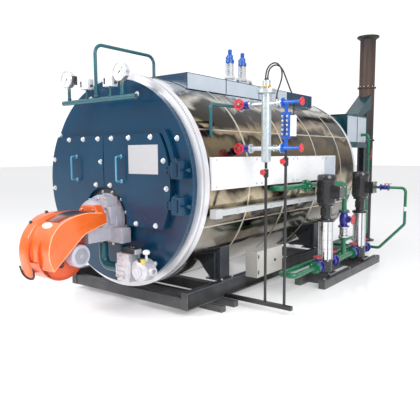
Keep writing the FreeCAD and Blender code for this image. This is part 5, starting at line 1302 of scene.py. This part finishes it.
def pressed_wheel(radius):
    """A wheel about +Z: R(t) = radius * (1 - 0.055 * (1 + cos 6t) / 2) for its rim, whose round
    section runs back into a flat web; six spokes are left between the windows."""
    turn = np.linspace(0, 2 * np.pi, 72, endpoint=False)[:, None]
    reach = radius * (1 - 0.055 * (1 + np.cos(6 * turn)) / 2)
    section = np.linspace(0, 2 * np.pi, 10, endpoint=False)
    thick = 0.135 * radius
    r = reach - thick + thick * np.cos(section)
    z = 0.0085 + 0.0075 * np.sin(section) + 0 * turn
    rim_part = net(np.stack([r * np.cos(turn), r * np.sin(turn), z], -1), around=True,
                   closed=True)
    spokes = []
    for lean_to in np.radians(np.arange(30, 390, 60)):
        out = np.array([math.cos(lean_to), math.sin(lean_to), 0])
        across = np.array([-math.sin(lean_to), math.cos(lean_to), 0])
        spokes.append(prism([out * far + across * wide + [0, 0, high]
                             for high in (0.006, 0.0115)
                             for far, wide in ((0.012, -0.006), (0.012, 0.006),
                                               (radius * 0.82, radius * 0.19),
                                               (radius * 0.82, -radius * 0.19))]))
    hub = turned([(0, 0), (0.016, 0), (0.016, 0.012), (0.012, 0.016), (0, 0.016)], sides=24)
    return joined([rim_part, hub] + spokes)


spindle = joined([disc(0.0088, -0.024, 0.002, sides=20),
                  turned([(0, 0.015), (0.0085, 0.015), (0.0085, 0.0195), (0, 0.0198)], sides=6)])
reach_out = 0.112
pump_x, port_z = 1.4, 0.235
wheels = [("column_upper_wheel", 0.058, (1.15, side_y - reach_out, upper_z), toward),
          ("column_lower_wheel", 0.058, (1.15, side_y - reach_out, lower_z), toward),
          ("gauge_upper_wheel", 0.04, (1.762, side_y, upper_z), aside),
          ("gauge_lower_wheel", 0.04, (1.762, side_y, lower_z), aside),
          ("suction_wheel", 0.058, (pump_x, 1.87, port_z + reach_out), up),
          ("transfer_wheel", 0.058, (pump_x, 2.29, port_z + reach_out), up),
          ("second_pump_wheel", 0.058, (pump_x, 2.97, port_z + reach_out), up),
          ("far_suction_wheel", 0.058, (pump_x, 3.39, port_z + reach_out), up),
          ("riser_valve_wheel", 0.064, (pump_x + reach_out, 2.63, 0.727), aside)]
for name, radius, place, axis in wheels:
    made = piece(name + "_rim", repeated(pressed_wheel(radius), spot(*place), axis), wheel_red,
                 body=name, bevel=0.0015)
    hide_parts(name)
    fasten(name + "_spindle", spindle, spot(*place), axis, body=name)
small_wheels = [repeated(pressed_wheel(0.03), spot(x, side_y - 0.055, z), toward)
                for x, z in drain_places]
piece("drain_wheels", small_wheels, wheel_red)

# --- Side panel, cable tray and junction box -------------------------------------------------
# A long white sheet panel stands off the shell on the right, left bare, with a grey sheet at its
# rear end. Below it run a folded tray and, on the frame, a junction box with cable glands.

enamel_white = painted("panel_white", (0.9, 0.9, 0.92), (0.82, 0.82, 0.86), 0.25, coat=0.3,
                       wear_and_highlight_level=0.12, bare_and_highlight=(0.6, 0.6, 0.62), patch=1.2, depth=0.05)
dress("side_sign_panel", enamel_white)
sign_low, sign_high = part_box("side_sign_panel")
outer_x, panel_z0, panel_z1 = sign_high.x - datum[0], sign_low.z, sign_high.z
piece("panel_rear_sheet", block((outer_x - 0.001, 2.6, panel_z0 + 0.003),
                                (outer_x + 0.002, 2.948, panel_z1 - 0.003)), panel_grey,
      bevel=0.001)
edges = [block((outer_x - 0.004, 0.191, z - 0.006), (outer_x + 0.003, 2.949, z + 0.006))
         for z in (panel_z0 + 0.006, panel_z1 - 0.006)]
edges += [block((outer_x - 0.004, y - 0.006, panel_z0), (outer_x + 0.003, y + 0.006, panel_z1))
          for y in (0.197, 1.0, 1.8, 2.6, 2.943)]
piece("panel_edges", edges, enamel_white, bevel=0.0015)
panel_screws = [spot(outer_x + 0.003, y, z)
                for y in (0.25, 0.95, 1.05, 1.75, 1.85, 2.55, 2.65, 2.9)
                for z in (panel_z0 + 0.03, panel_z1 - 0.03)]
fasten("panel_screws", small_cap, panel_screws, aside)

tray_grey = painted("tray_grey", (0.6, 0.62, 0.62), (0.46, 0.48, 0.48), 0.3, coat=0.2, wear_and_highlight_level=0.35,
                    bare_and_highlight=(0.75, 0.75, 0.75), patch=2)
dress("cable_tray", tray_grey)
tray_low, tray_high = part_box("cable_tray")
lid_x = tray_high.x - datum[0]
lid_length = 0.65
lids = [block((lid_x - reach, start + 0.004, tray_high.z - drop),
              (lid_x + 0.004, start + lid_length - 0.004, tray_high.z + 0.003))
        for reach, drop in ((0.05, 0.002), (0.002, 0.014))
        for start in np.arange(0.25, 3.4, lid_length)]
piece("tray_lids", lids, tray_grey, bevel=0.001)
piece("tray_end_box", block((lid_x - 0.07, 0.2, tray_low.z - 0.02),
                            (lid_x + 0.01, 0.3, tray_high.z + 0.015)), tray_grey,
      bevel=0.004)
clips = [block((lid_x - 0.002, y, tray_low.z - 0.004),
               (lid_x + 0.006, y + 0.03, tray_high.z + 0.005))
         for y in np.arange(0.55, 3.4, lid_length)]
piece("tray_clips", clips, galvanised, bevel=0.001)

box_grey = painted("box_grey", (0.66, 0.64, 0.6), (0.54, 0.52, 0.49), 0.36, wear_and_highlight_level=0.25,
                   bare_and_highlight=(0.4, 0.4, 0.4), reach=0.45, patch=2)
dress("junction_box", box_grey)
box_low, box_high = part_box("junction_box")
box_x = box_high.x - datum[0]
piece("junction_door", [block((box_x - 0.001, 1.115, box_low.z + 0.02),
                              (box_x + 0.005, 1.5, box_high.z - 0.02)),
                        block((box_x - 0.001, 1.52, box_low.z + 0.04),
                              (box_x + 0.004, 1.625, box_high.z - 0.05))], box_grey,
      bevel=0.002)
door_lock = turned([(0, 0), (0.016, 0), (0.016, 0.008), (0.01, 0.012), (0, 0.012)],
                   spot(box_x + 0.004, 1.46, (box_low.z + box_high.z) / 2), aside, sides=24)
door_hinges = [block((box_x - 0.002, 1.108, z - 0.02), (box_x + 0.007, 1.122, z + 0.02))
               for z in (box_low.z + 0.06, box_high.z - 0.06)]
piece("junction_fittings", [door_lock] + door_hinges, black_enamel, bevel=0.001)
glands = [turned([(0, 0), (0.018, 0), (0.018, 0.012), (0.014, 0.014), (0.014, 0.03),
                  (0.008, 0.04), (0, 0.04)], spot(box_x - 0.08, y, box_low.z), (0, 0, -1),
                 sides=12) for y in (1.18, 1.28, 1.38, 1.48)]
piece("junction_glands", glands, black_enamel)

# --- Feed pumps ------------------------------------------------------------------------------
# Two vertical multistage pumps on a black skid: a cast base with flanged ports, a polished
# sleeve held by four staybolts, a cast lantern and a finned motor with a terminal box.

pump_black = painted("pump_black", (0.008, 0.008, 0.01), (0.025, 0.025, 0.03), 0.2, coat=0.6,
                     wear_and_highlight_level=0.2, bare_and_highlight=(0.25, 0.25, 0.27), patch=5)
dress("pump_motors", pump_black)
dress("pump_bases", pump_black)
polished = brushed("polished_steel", (0.95, 0.95, 0.97), (0.72, 0.73, 0.76), (40, 40, 1), 3, 4,
                   (0.1, 0.24), 1.0)
dress("pump_stage_tubes", polished)
pump_places = (2.08, 3.18)
stays, fins, lids, rings, guards = [], [], [], [], []
pump_bolts, plate_places = [], []
for y in pump_places:
    for place in circle(spot(pump_x, y, 0), 0.088, 4, start=45):
        stays.append(disc(0.006, 0.28, 0.775, place, sides=10))
        stays.append(disc(0.012, 0.284, 0.296, place, sides=6))
        pump_bolts.append(place + [0, 0, 0.786])
    pump_bolts += [spot(pump_x + across, y + back, 0.14)
                   for across in (-0.09, 0.09) for back in (-0.082, 0.082)]
    rings += [turned([(0.07, z), (0.0775, z), (0.0785, z + 0.004), (0.0775, z + 0.008),
                      (0.07, z + 0.008)], spot(pump_x, y, 0), sides=48)
              for z in (0.3, 0.42, 0.53, 0.64, 0.75)]
    for turn in np.radians(np.arange(0, 360, 12)):
        radial = np.array([math.cos(turn), math.sin(turn), 0])
        if radial[0] > 0.78:
            continue
        across = np.array([-math.sin(turn), math.cos(turn), 0]) * 0.0022
        inner, outer = spot(pump_x, y, 0) + radial * 0.098, spot(pump_x, y, 0) + radial * 0.1135
        fins.append(prism([point + [0, 0, z] for z in (0.995, 1.235) for point in
                           (inner - across, inner + across, outer + across, outer - across)]))
    fan_cover = turned([(0.09, 1.24), (0.1125, 1.24), (0.1135, 1.25), (0.1135, 1.3),
                          (0.1, 1.324), (0.06, 1.327), (0, 1.328), (0, 1.32), (0.09, 1.3)],
                         spot(pump_x, y, 0), sides=48)
    lids += [fan_cover, block((pump_x + 0.187, y - 0.073, 1.037),
                                (pump_x + 0.198, y + 0.073, 1.193)),
             turned([(0, 0), (0.016, 0), (0.016, 0.02), (0.011, 0.03), (0, 0.03)],
                    spot(pump_x + 0.13, y + 0.035, 1.04), (0, 0, -1), sides=12),
             block((pump_x - 0.062, y - 0.03, 0.83), (pump_x + 0.062, y + 0.03, 0.925)),
             block((pump_x - 0.03, y - 0.062, 0.83), (pump_x + 0.03, y + 0.062, 0.925))]
    plate_places += [spot(pump_x + 0.198, y + side, z) for side in (-0.062, 0.062)
                     for z in (1.05, 1.18)]
    guards.append(turned([(0.02, 1.329), (0.06, 1.3285), (0.06, 1.3275), (0.02, 1.328)],
                         spot(pump_x, y, 0), sides=32))
piece("pump_staybolts", stays, zinc)
piece("pump_sleeve_rings", rings, polished)
piece("pump_motor_fins", fins, pump_black)
piece("pump_motor_covers", lids, pump_black, bevel=0.003)
piece("pump_fan_rings", guards, black_enamel)
fasten("pump_bolts", small_bolt, pump_bolts, up)
fasten("pump_cover_screws", small_cap, plate_places, aside)
port_bolts = sum((circle(spot(pump_x, y, port_z), 0.056, 4, start=45, axis="y") for y in
                  (1.802, 1.938, 2.222, 2.358, 2.902, 3.038, 3.322, 3.458)), [])
fasten("port_flange_bolts", small_bolt, port_bolts, toward)
skid_bolts = [spot(x, y, 0.1) for x in (1.19, 1.5) for y in (1.85, 2.6, 3.55)]
fasten("skid_bolts", hex_bolt, skid_bolts, up)

# --- Feed pipework ---------------------------------------------------------------------------
# Green enamelled steel pipe with flanged joints, a stainless bellows in the riser and a white
# band on the bypass.

pipe_green = painted("pipe_green", (0.003, 0.2, 0.085), (0.002, 0.11, 0.05), 0.26, coat=0.5,
                     wear_and_highlight_level=0.25, bare_and_highlight=(0.25, 0.5, 0.38), patch=4)
for name in ("suction_pipe", "delivery_pipe", "feed_branch_pipes"):
    dress(name, pipe_green)
dress("riser_bellows", polished)
feed_x, feed_z = 1.215, 1.192
weld_profile = [(0.029, -0.005), (0.032, -0.003), (0.0325, 0), (0.032, 0.003), (0.029, 0.005)]
weld_beads = [turned(weld_profile, spot(*place), (0, 1, 0), sides=28) for place in
              ((pump_x, 1.45, port_z), (feed_x, 2.0, port_z), (feed_x, 2.8, port_z),
               (feed_x, 1.5, feed_z), (feed_x, 2.2, feed_z))]
piece("pipe_welds", weld_beads, pipe_green)
riser_bolts = sum((circle(spot(pump_x, 2.63, z), 0.052, 6) for z in (0.507, 0.641, 0.843)), [])
fasten("riser_bolts", small_bolt, riser_bolts, up)
line_bolts = circle(spot(feed_x, 1.89, feed_z), 0.055, 6, axis="y")
fasten("line_bolts", small_bolt, line_bolts, toward)
piece("bypass_band", turned([(0.0195, -0.03), (0.0208, -0.03), (0.0208, 0.03), (0.0195, 0.03)],
                            spot(1.88, 3.61, 0.8), sides=32), ivory)
piece("bypass_handle", [block((1.588, 3.598, 1.118), (1.602, 3.622, 1.146)),
                        block((1.588, 3.6, 1.14), (1.69, 3.62, 1.147))], wheel_red,
      bevel=0.002)

# --- Economiser ------------------------------------------------------------------------------
# A sheet-metal heat exchanger on posts behind the boiler. Its ends are enamelled dark teal and
# its sides are pale grey-blue panels that meet at a standing seam.

eco_teal = painted("economiser_teal", (0.003, 0.06, 0.075), (0.002, 0.035, 0.05), 0.3, coat=0.4,
                   wear_and_highlight_level=0.3, bare_and_highlight=(0.2, 0.35, 0.4), patch=1.6)
dress("economiser", eco_teal)
x0, x1, y0, y1, z0, z1 = -0.2, 0.8, 4.11, 4.95, 1.74, 2.19
panels, seams_up = [], []
for x, out in ((x0, -0.004), (x1, 0.004)):
    for start, end in ((y0 + 0.02, (y0 + y1) / 2 - 0.006), ((y0 + y1) / 2 + 0.006, y1 - 0.02)):
        panels.append(block((min(x, x + out), start, z0 + 0.02),
                            (max(x, x + out), end, z1 - 0.02)))
    seams_up.append(block((min(x, x + 2.5 * out), (y0 + y1) / 2 - 0.006, z0),
                          (max(x, x + 2.5 * out), (y0 + y1) / 2 + 0.006, z1)))
piece("economiser_panels", panels, panel_grey, bevel=0.0015)
for x in (x0, x1):
    for y in (y0, y1):
        seams_up += [block((x - 0.006, y - 0.006, z0 - 0.002),
                           (x + 0.006, y + 0.006, z1 + 0.002))]
for z in (z0, z1):
    seams_up += [block((x0 - 0.006, y - 0.006, z - 0.006), (x1 + 0.006, y + 0.006, z + 0.006))
                 for y in (y0, y1)]
    seams_up += [block((x - 0.006, y0 - 0.006, z - 0.006), (x + 0.006, y1 + 0.006, z + 0.006))
                 for x in (x0, x1)]
piece("economiser_edges", seams_up, eco_teal, bevel=0.001)
piece("economiser_cover", [block((0.05, y0 - 0.006, 1.83), (0.55, y0 + 0.001, 2.1))]
      + [block((x, y1 - 0.001, 1.8), (x + 0.4, y1 + 0.006, 2.13)) for x in (-0.12, 0.32)],
      eco_teal, bevel=0.002)
eco_screws = [spot(x1 + 0.004, y, z) for y in np.linspace(y0 + 0.05, y1 - 0.05, 7)
              for z in (z0 + 0.035, z1 - 0.035)]
fasten("economiser_screws", small_cap, eco_screws, aside)
piece("feed_cock", [turned([(0, -0.045), (0.036, -0.045), (0.036, -0.03), (0.03, -0.025),
                            (0.03, 0.025), (0.036, 0.03), (0.036, 0.045), (0, 0.045)],
                           spot(0.93, 4.72, 1.5), sides=28)], pipe_green)
piece("feed_cock_lever", [block((0.96, 4.71, 1.49), (0.985, 4.73, 1.51)),
                          block((0.978, 4.708, 1.49), (0.986, 4.732, 1.64))], wheel_red,
      bevel=0.002)

# --- Stack -----------------------------------------------------------------------------------
# A rolled steel flue with a flared hood, painted heat-proof black that has burnt brown.

soot, tree, shader = material("stack_paint")
place = object_place(tree)
rise = node(tree, "ShaderNodeSeparateXYZ", {"Vector": place}).outputs["Z"]
flow = node(tree, "ShaderNodeTexNoise", {"Vector": node(
    tree, "ShaderNodeMapping", {"Vector": place, "Scale": (9.0, 9.0, 1.2)}).outputs["Vector"],
    "Scale": 1.6, "Detail": 5.0}).outputs["Fac"]
rise = node(tree, "ShaderNodeMath", {0: flow, 1: 1.1, 2: rise}, operation="MULTIPLY_ADD")
rise = node(tree, "ShaderNodeMapRange", {"Value": rise.outputs[0], "From Min": 2.6,
                                         "From Max": 4.6}).outputs["Result"]
tree.links.new(ramp(tree, rise, [(0.0, (0.02, 0.02, 0.022)), (0.3, (0.09, 0.05, 0.035)),
                                 (0.62, (0.055, 0.03, 0.022)), (0.8, (0.012, 0.011, 0.012)),
                                 (1.0, (0.02, 0.02, 0.024))]), shader.inputs["Base Color"])
tree.links.new(node(tree, "ShaderNodeMapRange", {"Value": flow, "To Min": 0.35, "To Max": 0.65})
               .outputs["Result"], shader.inputs["Roughness"])
tree.links.new(use(tree, grain, {"Scale": 50.0, "Depth": 0.4}), shader.inputs["Normal"])
dress("stack", soot)
stack_at = spot(0.66, 5.3, 0)
flange_heights = (0.9, 1.8, 2.72)
joints = [turned([(0.13, low), (0.158, low), (0.158, low + 0.011), (0.13, low + 0.011)],
                 stack_at, sides=64)
          for z in flange_heights for low in (z - 0.012, z + 0.001)]
joints.append(turned([(0.18, 3.578), (0.187, 3.578), (0.187, 3.6), (0.18, 3.6)], stack_at,
                     sides=64))
joints.append(turned([(0.0, 0.0), (0.2, 0.0), (0.2, 0.014), (0.13, 0.014), (0, 0.014)], stack_at,
                     sides=48))
piece("stack_flanges", joints, soot, bevel=0.001)
stack_bolts = sum((circle(stack_at + [0, 0, z + 0.012], 0.146, 12) for z in flange_heights),
                  circle(stack_at + [0, 0, 0.014], 0.175, 6))
fasten("stack_bolts", small_bolt, stack_bolts, up)
rims = []
for x in (0.66 - 0.116, 0.66 + 0.116):
    rims.append(block((x - 0.003, y1 - 0.38, z1 - 0.002), (x + 0.003, y1 - 0.12, z1 + 0.03)))
rims += [block((0.54, y - 0.003, z1 - 0.002), (0.78, y + 0.003, z1 + 0.03))
         for y in (y1 - 0.378, y1 - 0.122)]
piece("duct_collar", rims, eco_teal, bevel=0.001)
